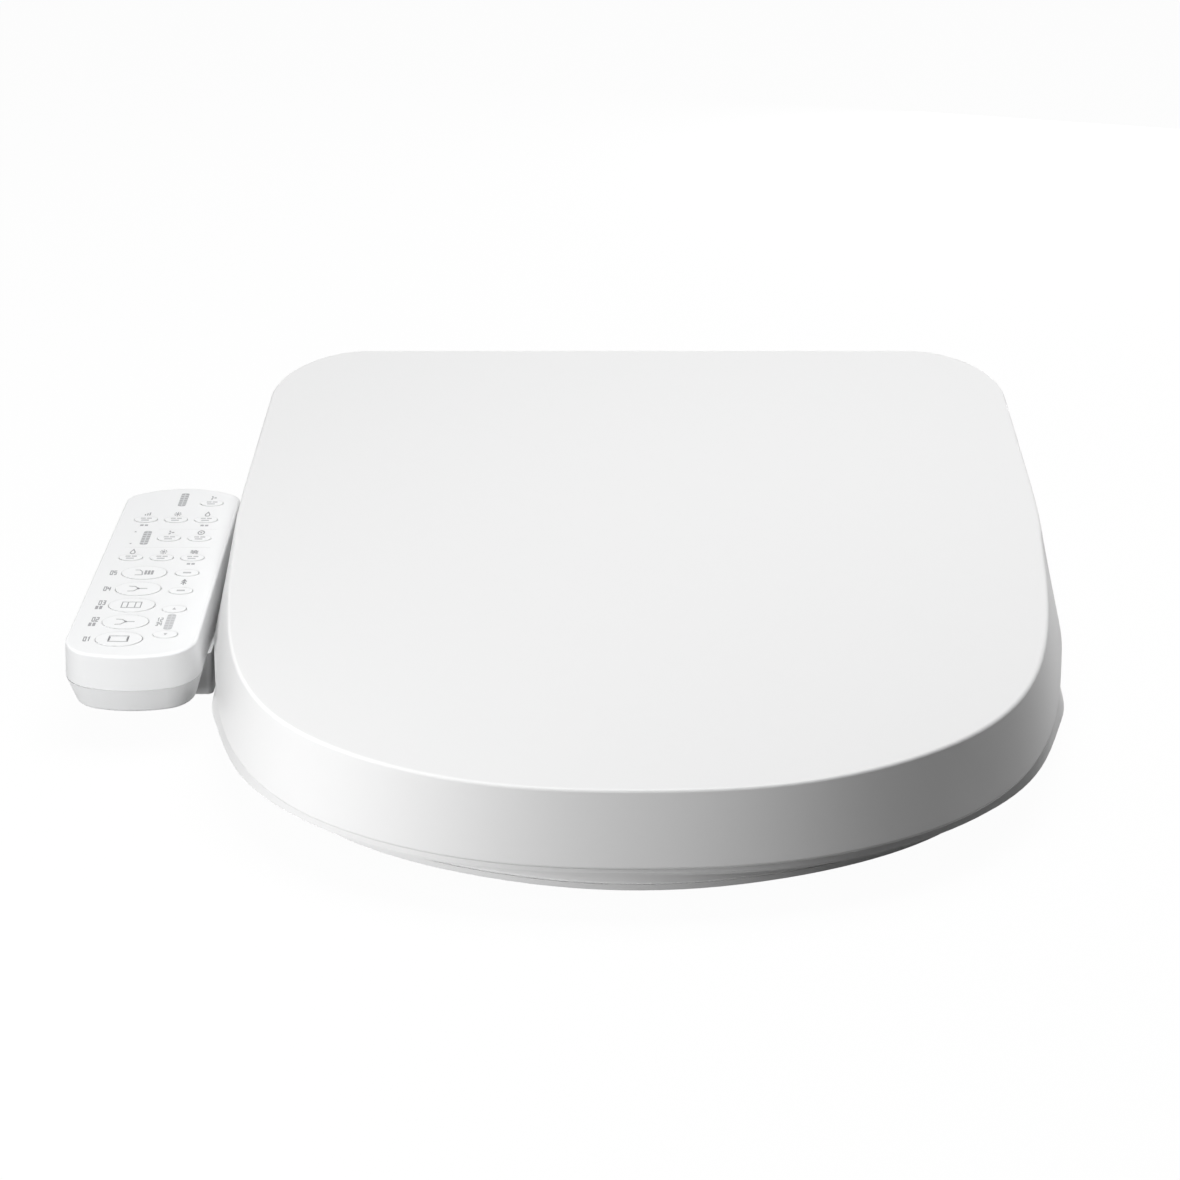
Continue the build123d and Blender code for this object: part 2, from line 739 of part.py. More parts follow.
# Release button: a flanged push button in the right side wall
with BuildPart() as release_button:
    with BuildSketch(Plane.YZ.offset(main_half + button_proud)):
        with Locations((button_y, button_z)):
            RectangleRounded(button_width, button_height, button_proud)
    extrude(amount=-button_length)
    with BuildSketch(Plane.YZ.offset(main_half - case_wall - running_gap)):
        with Locations((button_y, button_z)):
            Rectangle(button_width + 2 * button_flange, button_height + 2 * button_flange)
    extrude(amount=-button_flange)
save(release_button.part, "release_button")

# Case screws: heads under the lower case
with BuildPart() as case_screws:
    with BuildSketch(Plane.XY.offset(main_floor)):
        with Locations((0, case_mid_y)):
            with GridLocations(2 * (main_half - screw_edge), case_depth - 2 * screw_edge, 2, 2):
                Circle(screw_radius)
    extrude(amount=-screw_sink)
save(case_screws.part, "case_screws")

# Hinge pins and soft-close dampers, one of each on either side
for side, side_name in ((-1, "left"), (1, "right")):
    with BuildPart() as hinge_pin:
        with BuildSketch(Plane.YZ.offset(side * (bay_inner - cover_wall - damper_socket))):
            with Locations((hinge_y, hinge_z)):
                Circle(pin_radius)
        extrude(amount=side * (bay_outer - bay_inner + 2 * cover_wall + 2 * damper_socket))
    save(hinge_pin.part, f"{side_name}_hinge_pin")

    with BuildPart() as damper:
        with BuildSketch(Plane.YZ.offset(side * (bay_inner - cover_wall))):
            with Locations((hinge_y, hinge_z)):
                Circle(damper_radius)
        extrude(amount=-side * damper_length)
        with BuildSketch(Plane.YZ.offset(side * (bay_inner - cover_wall))):
            with Locations((hinge_y, hinge_z)):
                Circle(pin_radius)
        extrude(amount=-side * damper_socket, mode=Mode.SUBTRACT)
    save(damper.part, f"{side_name}_damper")

# Water inlet: a threaded-size nipple through the back wall, with a collar
with BuildPart() as inlet_fitting:
    with BuildSketch(Plane.XZ.offset(-valve_rear)):
        with Locations((inlet_x, inlet_z)):
            Circle(inlet_radius)
    extrude(amount=-(heel_y + inlet_reach - valve_rear))
    with BuildSketch(Plane.XZ.offset(-heel_y)):
        with Locations((inlet_x, inlet_z)):
            Circle(inlet_radius + collar_rim)
    extrude(amount=-collar_width)
    with BuildSketch(Plane.XZ.offset(-heel_y - inlet_reach)):
        with Locations((inlet_x, inlet_z)):
            Circle(inlet_bore)
    extrude(amount=inlet_reach, mode=Mode.SUBTRACT)
save(inlet_fitting.part, "inlet_fitting")

# Inlet valve: a block with its solenoid, behind the inlet
with BuildPart() as inlet_valve:
    with BuildSketch(Plane((inlet_x, valve_rear - valve_depth / 2, main_floor + case_wall))):
        RectangleRounded(valve_width, valve_depth, valve_round)
    extrude(amount=valve_height)
    with BuildSketch(Plane.XZ.offset(-(valve_rear - valve_depth))):
        with Locations((inlet_x, inlet_z)):
            Circle(solenoid_radius)
    extrude(amount=solenoid_length)
save(inlet_valve.part, "inlet_valve")

# Cord gland: a collared sleeve in the back wall
with BuildPart() as cord_gland:
    with BuildSketch(Plane.XZ.offset(-(heel_y - case_wall))):
        with Locations((gland_x, inlet_z)):
            Circle(gland_radius)
    extrude(amount=-(case_wall + gland_reach))
    with BuildSketch(Plane.XZ.offset(-heel_y)):
        with Locations((gland_x, inlet_z)):
            Circle(gland_radius + collar_rim)
    extrude(amount=-collar_width)
    with BuildSketch(Plane.XZ.offset(-(heel_y + gland_reach))):
        with Locations((gland_x, inlet_z)):
            Circle(gland_bore)
    extrude(amount=case_wall + gland_reach, mode=Mode.SUBTRACT)
save(cord_gland.part, "cord_gland")

# Water heater tank on the deck, with two ports towards the nozzles
with BuildPart() as water_tank:
    with BuildSketch(Plane((tank_x, (tank_front + tank_rear) / 2, deck_top))):
        Rectangle(tank_width, tank_rear - tank_front)
    extrude(amount=tank_height)
    fillet(water_tank.edges().filter_by(Axis.Z), radius=tank_round)
    with BuildSketch(Plane.YZ.offset(tank_x + tank_width / 2)):
        with Locations((tank_rear - tank_depth_third, deck_top + tank_height / 2)):
            Circle(tank_port_radius)
        with Locations((tank_front + tank_depth_third, deck_top + tank_height / 2)):
            Circle(tank_port_radius)
    extrude(amount=tank_port_length)
save(water_tank.part, "water_tank")

# Flow pump on the floor of the case, in front of the tank
with BuildPart() as flow_pump:
    with BuildSketch(Plane.YZ.offset(tank_x - pump_length / 2)):
        with Locations((pump_y, main_floor + case_wall + pump_radius)):
            Circle(pump_radius)
    extrude(amount=pump_length)
    with BuildSketch(Plane((tank_x, pump_y, main_floor + case_wall))):
        Rectangle(pump_length / 2, 2 * pump_radius)
    extrude(amount=pump_radius)
save(flow_pump.part, "flow_pump")

# Main board on standoffs over the tank
with BuildPart() as main_board:
    board_plane = Plane((tank_x, (tank_front + tank_rear) / 2, deck_top + tank_height))
    with BuildSketch(board_plane):
        with GridLocations(board_width - 3 * standoff_radius, board_depth - 3 * standoff_radius, 2, 2):
            Circle(standoff_radius)
    extrude(amount=standoff)
    with BuildSketch(board_plane.offset(standoff)):
        Rectangle(board_width, board_depth)
    extrude(amount=board_thickness)
    with BuildSketch(board_plane.offset(standoff + board_thickness)):
        with GridLocations(board_width / 2, 1, 2, 1):
            Circle(capacitor_radius)
        with Locations((0, board_depth / 4), (0, -board_depth / 4)):
            Rectangle(relay_size, relay_size / 2)
    extrude(amount=capacitor_height)
save(main_board.part, "main_board")

# Nozzle guide: a sloping base with two guide blocks, motor cheeks and feet
with BuildPart() as nozzle_guide:
    bore_radius = nozzle_radius + running_gap
    guide_under = -bore_radius - guide_cheek
    with BuildSketch(nozzle_plane.offset(guide_front_start)):
        with Locations((0, guide_under)):
            Rectangle(2 * guide_half, guide_cheek, align=(Align.CENTER, Align.MIN))
    extrude(amount=nozzle_length - guide_front_start)
    for start, length in ((guide_front_start, guide_front_length), (guide_rear_start, guide_rear_length)):
        with BuildSketch(nozzle_plane.offset(start)):
            with Locations((0, guide_under)):
                Rectangle(2 * guide_half, -2 * guide_under, align=(Align.CENTER, Align.MIN))
            with GridLocations(nozzle_spacing, 1, 2, 1):
                Circle(bore_radius, mode=Mode.SUBTRACT)
                Rectangle(
                    rack_width + 2 * running_gap,
                    -2 * guide_under,
                    align=(Align.CENTER, Align.MIN),
                    mode=Mode.SUBTRACT,
                )
        extrude(amount=length)
    for side in (-1, 1):
        with BuildSketch(nozzle_plane.offset(pinion_along - cheek_ahead)):
            with Locations((side * (guide_half + guide_cheek / 2), guide_under)):
                cheek_height = pinion_height - guide_under + motor_radius
                Rectangle(guide_cheek, cheek_height, align=(Align.CENTER, Align.MIN))
            with Locations((side * guide_half, guide_under)):
                Rectangle(2 * guide_cheek, guide_cheek, align=(Align.CENTER, Align.MIN))
        extrude(amount=cheek_ahead + motor_radius)
    with BuildSketch(Plane(pinion_centre, x_dir=nozzle_dir, z_dir=(1, 0, 0))):
        Circle(pinion_shaft_radius + pin_gap)
    extrude(amount=2 * guide_half, both=True, mode=Mode.SUBTRACT)
    for foot_y, foot_floor in ((front_foot_y, main_floor + case_wall), (rear_foot_y, deck_top)):
        along = (foot_y - main_front) / nozzle_dir.Y
        foot_top = nozzle_exit_z + along * nozzle_dir.Z + guide_under * nozzle_up.Z
        with BuildSketch(Plane((0, foot_y, foot_floor))):
            Rectangle(2 * guide_half, guide_foot)
        extrude(amount=foot_top - foot_floor)
save(nozzle_guide.part, "nozzle_guide")

# Nozzles with their racks, pinions and stepper motors
tooth_half = tooth_share * rack_pitch / 2
flank = math.tan(math.radians(flank_angle))
tooth_root = 1.25 * rack_module
tooth_tip = rack_module
for side, wash_name in ((-1, "rear_wash"), (1, "front_wash")):
    nozzle_x = side * nozzle_spacing / 2
    drive_origin = nozzle_plane.origin + Vector(nozzle_x, 0, 0)
    with BuildPart() as nozzle:
        with BuildSketch(nozzle_plane.offset(nozzle_set_in)):
            with Locations((-nozzle_x, 0)):
                Circle(nozzle_radius)
        extrude(amount=nozzle_length)
        fillet(nozzle.edges().sort_by(Axis.Y)[0], radius=nozzle_radius / 2)
        with BuildSketch(Plane(drive_origin, x_dir=nozzle_dir, z_dir=(1, 0, 0))):
            rack_first = pinion_along - (rack_teeth_ahead - 0.5) * rack_pitch
            with Locations((rack_first - rack_pitch / 2, nozzle_radius - rack_base)):
                Rectangle(rack_teeth * rack_pitch, 2 * rack_base, align=(Align.MIN, Align.MIN))
            with Locations(*[(rack_first + step * rack_pitch, rack_line) for step in range(rack_teeth)]):
                Polygon(
                    (-tooth_half - tooth_root * flank, -tooth_root),
                    (tooth_half + tooth_root * flank, -tooth_root),
                    (tooth_half - tooth_tip * flank, tooth_tip),
                    (-tooth_half + tooth_tip * flank, tooth_tip),
                    align=None,
                )
        extrude(amount=rack_width / 2, both=True)
    save(nozzle.part, f"{wash_name}_nozzle")

    with BuildPart() as pinion:
        hub_plane = Plane(pinion_centre + Vector(nozzle_x, 0, 0), x_dir=nozzle_dir, z_dir=(1, 0, 0))
        with BuildSketch(hub_plane):
            Circle(pinion_pitch_radius - tooth_root)
            with PolarLocations(pinion_pitch_radius, pinion_teeth, start_angle=-quarter_turn):
                Polygon(
                    (-tooth_root - pinion_foot, tooth_half + tooth_root * flank),
                    (-tooth_root - pinion_foot, -tooth_half - tooth_root * flank),
                    (tooth_tip, -tooth_half + tooth_tip * flank * pinion_relief),
                    (tooth_tip, tooth_half - tooth_tip * flank * pinion_relief),
                    align=None,
                )
        extrude(amount=rack_width / 2, both=True)
        with BuildSketch(hub_plane):
            Circle(pinion_shaft_radius)
        extrude(amount=side * (guide_half + guide_cheek + motor_socket - nozzle_spacing / 2))
    save(pinion.part, f"{wash_name}_pinion")

    with BuildPart() as motor:
        motor_plane = Plane(
            pinion_centre + Vector(side * (guide_half + guide_cheek), 0, 0), x_dir=nozzle_dir, z_dir=(1, 0, 0)
        )
        with BuildSketch(motor_plane):
            Circle(motor_radius)
        extrude(amount=side * motor_length)
        with BuildSketch(motor_plane):
            Circle(pinion_shaft_radius + pin_gap)
        extrude(amount=side * (motor_socket + running_gap), mode=Mode.SUBTRACT)
    save(motor.part, f"{wash_name}_motor")

# Dryer fan housing: a drum with an inlet on its right and an outlet to the front
with BuildPart() as fan_housing:
    with BuildSketch(Plane.YZ.offset(fan_x)):
        with Locations((fan_y, fan_z)):
            Circle(fan_radius)
        with Locations((fan_y, fan_low)):
            Rectangle(fan_y - duct_rear, duct_height, align=(Align.MAX, Align.MIN))
    extrude(amount=fan_width)
    with BuildSketch(Plane.YZ.offset(fan_x + fan_wall)):
        with Locations((fan_y, fan_z)):
            Circle(fan_radius - fan_wall)
        with Locations((fan_y, fan_low + duct_wall)):
            Rectangle(2 * (fan_y - duct_rear), duct_height - 2 * duct_wall, align=(Align.MAX, Align.MIN))
    extrude(amount=fan_width - 2 * fan_wall, mode=Mode.SUBTRACT)
    with BuildSketch(Plane.YZ.offset(fan_x + fan_width)):
        with Locations((fan_y, fan_z)):
            Circle(fan_radius / 2)
    extrude(amount=-2 * fan_wall, mode=Mode.SUBTRACT)
    with BuildSketch(Plane.YZ.offset(fan_x)):
        with Locations((fan_y, fan_z)):
            Circle(fan_axle_radius + pin_gap)
    extrude(amount=2 * fan_wall, mode=Mode.SUBTRACT)
save(fan_housing.part, "fan_housing")

# Fan wheel: a back plate with a hub, an axle and a ring of blades
with BuildPart() as fan_wheel:
    wheel_x = fan_x + fan_wall + running_gap
    wheel_radius = fan_radius - fan_wall - fan_wheel_gap
    wheel_width = fan_width - 2 * fan_wall - 2 * running_gap - fan_wheel_gap
    with BuildSketch(Plane.YZ.offset(wheel_x)):
        with Locations((fan_y, fan_z)):
            Circle(wheel_radius)
    extrude(amount=fan_blade)
    with BuildSketch(Plane.YZ.offset(wheel_x)):
        with Locations((fan_y, fan_z)):
            Circle(fan_hub_radius)
            with PolarLocations(wheel_radius - fan_ring / 2, fan_blades):
                Rectangle(fan_ring, fan_blade)
    extrude(amount=wheel_width)
    with BuildSketch(Plane.YZ.offset(fan_x)):
        with Locations((fan_y, fan_z)):
            Circle(fan_axle_radius)
    extrude(amount=fan_width / 2)
save(fan_wheel.part, "fan_wheel")

# Outlet duct from the fan to the window in the front wall
with BuildPart() as outlet_duct:
    with BuildSketch(Plane.XZ.offset(-duct_rear)):
        with Locations((outlet_x, fan_low + duct_height / 2)):
            Rectangle(fan_width, duct_height)
            Rectangle(fan_width - 2 * fan_wall, duct_height - 2 * duct_wall, mode=Mode.SUBTRACT)
    extrude(amount=duct_rear - main_front - case_wall)
save(outlet_duct.part, "outlet_duct")

# Outlet flap, hung on two pins in the front wall
with BuildPart() as outlet_flap:
    with BuildSketch(Plane.XZ.offset(-flap_axis_y)):
        with Locations((outlet_x, outlet_mid_z)):
            Rectangle(outlet_width - 2 * flap_gap, outlet_height - 2 * flap_gap)
    extrude(amount=flap_thickness / 2, both=True)
    with BuildSketch(Plane.YZ.offset(outlet_x)):
        with Locations((flap_axis_y, flap_axis_z)):
            Circle(flap_pin_radius)
    extrude(amount=outlet_width / 2 + flap_pin_length, both=True)
save(outlet_flap.part, "outlet_flap")

# Panel arm: a bar beside the seat, joined to the main unit by a block
with BuildPart() as panel_arm:
    arm_outer_x = arm_inner_x - arm_thickness
    with BuildSketch(Plane((0, 0, arm_low))):
        with Locations((arm_outer_x, arm_front)):
            Rectangle(arm_thickness, arm_block_rear - arm_front, align=(Align.MIN, Align.MIN))
        with Locations((arm_outer_x, arm_block_front)):
            Rectangle(
                -main_half - arm_outer_x, arm_block_rear - arm_block_front, align=(Align.MIN, Align.MIN)
            )
    extrude(amount=arm_top - arm_low)
    fillet(panel_arm.edges().filter_by(Axis.Z).sort_by(Axis.Y)[:2], radius=arm_round)
save(panel_arm.part, "panel_arm")

# Panel top case with its key holes and light windows
with BuildPart() as panel_top_case:
    with BuildSketch(parting_plane) as top_border:
        panel_outline(top_border, flare_growth)
    extrude(amount=panel_top_depth, taper=panel_flare)
    fillet(top_face(panel_top_case, panel_plane).edges(), radius=panel_top_round)
    with BuildSketch(parting_plane) as top_hollow:
        panel_outline(top_hollow, flare_growth - panel_wall)
    extrude(amount=panel_top_depth - panel_face, taper=panel_flare, mode=Mode.SUBTRACT)
    with BuildSketch(panel_plane):
        with Locations(*large_keys):
            Ellipse(large_key_half_width + key_gap, large_key_half_depth + key_gap)
        with Locations(*small_keys):
            Ellipse(small_key_half_width + key_gap, small_key_half_depth + key_gap)
        with Locations(*window_places):
            SlotOverall(window_length, window_width, rotation=quarter_turn)
    extrude(amount=-2 * panel_face, mode=Mode.SUBTRACT)
save(panel_top_case.part, "panel_top_case")

# Panel bottom case, cut away where the arm enters it
with BuildPart() as panel_bottom_case:
    with BuildSketch(parting_plane.offset(-panel_parting_gap)) as bottom_border:
        panel_outline(bottom_border, flare_growth)
    extrude(amount=-(panel_bottom_depth - panel_parting_gap), taper=panel_taper)
    panel_underside = panel_bottom_case.faces().filter_by(panel_plane).sort_by(Axis.Z)[0]
    fillet(panel_underside.edges(), radius=panel_bottom_round)
    with BuildSketch(parting_plane) as bottom_lip:
        panel_outline(bottom_lip, flare_growth - panel_parting_gap)
    extrude(amount=-2 * panel_parting_gap)
    with BuildSketch(parting_plane) as bottom_hollow:
        panel_outline(bottom_hollow, flare_growth - panel_wall)
    extrude(amount=-(panel_bottom_depth - panel_face), taper=panel_taper, mode=Mode.SUBTRACT)
    with BuildSketch(Plane((arm_inner_x - arm_thickness, arm_front, 0))):
        Rectangle(panel_width, 2 * panel_length, align=(Align.MIN, Align.MIN))
    extrude(amount=arm_top, mode=Mode.SUBTRACT)
save(panel_bottom_case.part, "panel_bottom_case")

# Key board under the keys, with a switch below each one
with BuildPart() as key_board:
    with BuildSketch(panel_plane.offset(-panel_board_drop)) as board_border:
        panel_outline(board_border, -panel_board_margin)
    extrude(amount=-board_thickness)
    with BuildSketch(panel_plane.offset(-panel_board_drop)):
        with Locations(*large_keys, *small_keys):
            Rectangle(switch_width, switch_width)
    extrude(amount=switch_height)
    with BuildSketch(panel_plane.offset(-panel_board_drop)):
        with Locations((0, panel_length / 2)):
            with GridLocations(panel_width - 2 * post_edge, panel_length - 2 * post_margin, 2, 2):
                Circle(post_radius)
    extrude(amount=panel_board_drop - panel_face)
save(key_board.part, "key_board")

# Light windows of the panel
with BuildPart() as indicator_windows:
    with BuildSketch(panel_plane):
        with Locations(*window_places):
            SlotOverall(window_length, window_width, rotation=quarter_turn)
    extrude(amount=-panel_face)
save(indicator_windows.part, "indicator_windows")

# Keys: flush ovals held from below by a flange
key_shapes = [("large_key", large_keys, large_key_half_width, large_key_half_depth)]
key_shapes.append(("small_key", small_keys, small_key_half_width, small_key_half_depth))
for key_name, places, half_width, half_depth in key_shapes:
    for number, place in enumerate(places, 1):
        with BuildPart() as key:
            with BuildSketch(panel_plane.offset(key_proud)):
                with Locations(place):
                    Ellipse(half_width, half_depth)
            extrude(amount=-(key_proud + panel_face + key_flange_gap))
            with BuildSketch(panel_plane.offset(-panel_face - key_flange_gap)):
                with Locations(place):
                    Ellipse(half_width + key_flange_rim, half_depth + key_flange_rim)
            extrude(amount=-key_flange)
        save(key.part, f"{key_name}_{number}")
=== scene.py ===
"""Finishes, printed marks, studio and camera for the electric bidet seat."""

import logging
import math
from dataclasses import dataclass, field
from enum import Enum
from typing import Dict, Iterable, List, Sequence, Tuple

import bmesh
import bpy
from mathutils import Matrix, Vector


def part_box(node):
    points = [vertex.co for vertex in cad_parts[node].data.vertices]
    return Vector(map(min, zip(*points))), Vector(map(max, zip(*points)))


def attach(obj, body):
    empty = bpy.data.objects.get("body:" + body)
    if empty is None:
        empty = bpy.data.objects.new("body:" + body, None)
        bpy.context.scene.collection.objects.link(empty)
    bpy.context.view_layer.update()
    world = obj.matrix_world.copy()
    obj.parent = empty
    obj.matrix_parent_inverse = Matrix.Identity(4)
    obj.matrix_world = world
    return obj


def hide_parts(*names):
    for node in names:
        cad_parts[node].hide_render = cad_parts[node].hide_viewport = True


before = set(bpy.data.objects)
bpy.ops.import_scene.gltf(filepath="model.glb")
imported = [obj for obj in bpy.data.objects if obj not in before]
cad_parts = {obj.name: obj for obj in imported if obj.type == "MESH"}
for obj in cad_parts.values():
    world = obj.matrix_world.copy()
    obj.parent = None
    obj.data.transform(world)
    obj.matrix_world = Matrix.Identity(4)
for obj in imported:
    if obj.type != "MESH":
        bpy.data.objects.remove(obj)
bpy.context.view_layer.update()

LOG = logging.getLogger("bidet_seat")
MM = 0.001
NODE_SMOOTH = 32.0
PIECE_SMOOTH = 40.0
MITRE_LIMIT = 0.35
DIGIT_ADVANCE = 1.7
RIGHT, BACK, UPWARD = Vector((1.0, 0.0, 0.0)), Vector((0.0, 1.0, 0.0)), Vector((0.0, 0.0, 1.0))

Colour = Tuple[float, float, float]
Shade = Tuple[float, float, float, float]
Point2 = Tuple[float, float]
Point3 = Tuple[float, float, float]
Polygon2 = List[Point2]
Skin = Tuple[List[Vector], List[List[int]]]


class Grain(Enum):
    """How the fine relief of a finish runs."""

    MOULDED = "moulded"
    BRUSHED = "brushed"
    SPECKLED = "speckled"
    TRACKED = "tracked"


@dataclass(frozen=True)
class Finish:
    """A surface whose colour, gloss and relief vary by noise at a real scale."""

    name: str
    colour: Colour
    roughness: float
    grain: Grain = Grain.MOULDED
    roughness_spread: float = 0.04
    mottle: float = 0.015
    mottle_scale: float = 22.0
    relief_scale: float = 1400.0
    relief_height: float = 0.000004
    metallic: float = 0.0
    specular: float = 0.5
    least_roughness: float = 0.02
    colour_detail: float = 3.0
    fine_detail: float = 2.0
    gloss_fineness: float = 3.0
    brush_stretch: Point3 = (0.05, 1.0, 1.0)
    track_gap: float = 0.06
    track_contrast: float = 4.0
    speckle_fineness: float = 40.0
    speckle_stops: Point2 = (0.42, 0.58)

    def shade(self, share: float) -> Shade:
        """The finish's colour, made lighter or darker by a share."""
        red, green, blue = (min(1.0, max(0.0, part * (1.0 + share))) for part in self.colour)
        return (red, green, blue, 1.0)

    def material(self) -> bpy.types.Material:
        """Build the material once and hand it out again afterwards.

        Returns:
            The node material of this finish.
        """
        found = bpy.data.materials.get(self.name)
        if found is not None:
            return found
        made = bpy.data.materials.new(self.name)
        made.use_nodes = True
        tree = made.node_tree
        shader = tree.nodes["Principled BSDF"]
        shader.inputs["Metallic"].default_value = self.metallic
        shader.inputs["Specular IOR Level"].default_value = self.specular
        place = tree.nodes.new("ShaderNodeTexCoord").outputs["Object"]
        if self.grain is Grain.BRUSHED:
            stretch = tree.nodes.new("ShaderNodeMapping")
            stretch.inputs["Scale"].default_value = self.brush_stretch
            tree.links.new(place, stretch.inputs["Vector"])
            place = stretch.outputs["Vector"]
        tint = self._tracks(tree, place) if self.grain is Grain.TRACKED else self._mottles(tree, place)
        tree.links.new(tint, shader.inputs["Base Color"])
        tree.links.new(self._gloss(tree, place), shader.inputs["Roughness"])
        tree.links.new(self._relief(tree, place), shader.inputs["Normal"])
        return made

    def _noise(self, tree: bpy.types.NodeTree, place: bpy.types.NodeSocket, scale: float,
               detail: float) -> bpy.types.NodeSocket:
        """Add a noise texture.

        Args:
            tree: Node tree that takes the texture.
            place: Socket with the texture's coordinates, in metres.
            scale: Features per metre.
            detail: Octaves of noise.

        Returns:
            The socket of the noise's value.
        """
        noise = tree.nodes.new("ShaderNodeTexNoise")
        noise.inputs["Scale"].default_value = scale
        noise.inputs["Detail"].default_value = detail
        tree.links.new(place, noise.inputs["Vector"])
        return noise.outputs["Fac"]

    def _tracks(self, tree: bpy.types.NodeTree, place: bpy.types.NodeSocket) -> bpy.types.NodeSocket:
        """Colour the surface in short tracks with paler gaps.

        Args:
            tree: Node tree that takes the nodes.
            place: Socket with the texture's coordinates, in metres.

        Returns:
            The socket of the colour.
        """
        bricks = tree.nodes.new("ShaderNodeTexBrick")
        bricks.inputs["Scale"].default_value = self.mottle_scale
        bricks.inputs["Mortar Size"].default_value = self.track_gap
        bricks.inputs["Color1"].default_value = self.shade(-self.mottle)
        bricks.inputs["Color2"].default_value = self.shade(self.mottle)
        bricks.inputs["Mortar"].default_value = self.shade(self.track_contrast * self.mottle)
        tree.links.new(place, bricks.inputs["Vector"])
        return bricks.outputs["Color"]

    def _mottles(self, tree: bpy.types.NodeTree, place: bpy.types.NodeSocket) -> bpy.types.NodeSocket:
        """Vary the colour a little over the surface.

        Args:
            tree: Node tree that takes the nodes.
            place: Socket with the texture's coordinates, in metres.

        Returns:
            The socket of the colour.
        """
        ramp = tree.nodes.new("ShaderNodeValToRGB")
        dark, light = ramp.color_ramp.elements
        dark.color, light.color = self.shade(-self.mottle), self.shade(self.mottle)
        scale = self.mottle_scale
        if self.grain is Grain.SPECKLED:
            dark.position, light.position = self.speckle_stops
            scale *= self.speckle_fineness
        tree.links.new(self._noise(tree, place, scale, self.colour_detail), ramp.inputs["Fac"])
        return ramp.outputs["Color"]

    def _gloss(self, tree: bpy.types.NodeTree, place: bpy.types.NodeSocket) -> bpy.types.NodeSocket:
        """Vary the gloss a little over the surface.

        Args:
            tree: Node tree that takes the nodes.
            place: Socket with the texture's coordinates, in metres.

        Returns:
            The socket of the roughness.
        """
        span = tree.nodes.new("ShaderNodeMapRange")
        lowest, highest = self.roughness - self.roughness_spread, self.roughness + self.roughness_spread
        span.inputs["To Min"].default_value = max(self.least_roughness, lowest)
        span.inputs["To Max"].default_value = min(1.0, highest)
        scale = self.gloss_fineness * self.mottle_scale
        tree.links.new(self._noise(tree, place, scale, self.fine_detail), span.inputs["Value"])
        return span.outputs["Result"]

    def _relief(self, tree: bpy.types.NodeTree, place: bpy.types.NodeSocket) -> bpy.types.NodeSocket:
        """Add the fine relief.

        Args:
            tree: Node tree that takes the nodes.
            place: Socket with the texture's coordinates, in metres.

        Returns:
            The socket of the surface's normal.
        """
        bump = tree.nodes.new("ShaderNodeBump")
        bump.inputs["Strength"].default_value = 1.0
        bump.inputs["Distance"].default_value = self.relief_height
        height = self._noise(tree, place, self.relief_scale, self.fine_detail)
        tree.links.new(height, bump.inputs["Height"])
        return bump.outputs["Normal"]


WHITE_SHELL = Finish("white_gloss_shell", (0.79, 0.79, 0.79), 0.3, roughness_spread=0.015, mottle=0.003,
                     mottle_scale=90.0, relief_height=0.0000006, specular=0.14)
WHITE_CASE = Finish("white_satin_case", (0.77, 0.77, 0.77), 0.5, roughness_spread=0.02, mottle=0.004,
                    mottle_scale=120.0, relief_height=0.0000025, specular=0.14)
WHITE_PANEL = Finish("white_satin_panel", (0.825, 0.83, 0.833), 0.5, roughness_spread=0.02, mottle=0.004,
                     mottle_scale=120.0, relief_height=0.0000025, specular=0.14)
WHITE_KEY = Finish("white_key_cap", (0.835, 0.84, 0.843), 0.45, roughness_spread=0.02, mottle=0.004,
                   mottle_scale=120.0, relief_height=0.0000015, specular=0.14)
PRINT_INK = Finish("grey_print", (0.33, 0.33, 0.34), 0.5, mottle=0.06, mottle_scale=300.0)
PALE_INK = Finish("pale_print", (0.46, 0.46, 0.47), 0.5, mottle=0.05, mottle_scale=300.0)
OUTLINE_INK = Finish("outline_print", (0.75, 0.75, 0.755), 0.5, mottle=0.03, mottle_scale=300.0)
LIGHT_BAR = Finish("light_bar_lens", (0.64, 0.65, 0.66), 0.25, mottle=0.03, mottle_scale=200.0, specular=0.2)
PAD_RUBBER = Finish("grey_rubber", (0.36, 0.36, 0.36), 0.62, Grain.SPECKLED, mottle=0.08,
                    relief_height=0.00002)
GLAND_RUBBER = Finish("pale_rubber", (0.66, 0.66, 0.65), 0.6, Grain.SPECKLED, mottle=0.05,
                      relief_height=0.00002)
PIN_STEEL = Finish("turned_steel", (0.56, 0.56, 0.57), 0.3, Grain.BRUSHED, mottle=0.1, metallic=1.0,
                   relief_scale=2600.0)
FOIL = Finish("heater_foil", (0.72, 0.72, 0.74), 0.34, Grain.TRACKED, mottle=0.1, mottle_scale=40.0,
              metallic=1.0)
INLET_BRASS = Finish("turned_brass", (0.66, 0.46, 0.19), 0.28, Grain.BRUSHED, mottle=0.08, metallic=1.0,
                     relief_scale=2600.0)
DARK_PLASTIC = Finish("dark_plastic", (0.035, 0.035, 0.038), 0.46, mottle=0.1, relief_height=0.00002)
PLATE_PLASTIC = Finish("pale_grey_plastic", (0.55, 0.55, 0.55), 0.48, mottle=0.03, relief_height=0.00002)
TANK_PLASTIC = Finish("ivory_tank", (0.62, 0.60, 0.53), 0.4, mottle=0.04)
BOARD_GREEN = Finish("green_board", (0.02, 0.12, 0.05), 0.36, Grain.TRACKED, mottle=0.12, mottle_scale=160.0)
GEAR_PLASTIC = Finish("ivory_gear", (0.68, 0.67, 0.62), 0.42, mottle=0.03)
# Near-black painted shade standing in for the dark insides of the spray holes and the screw heads' cross
# recesses.
PAINTED_RECESS_SHADE = Finish("dark_recess", (0.02, 0.02, 0.02), 0.7, mottle=0.1)


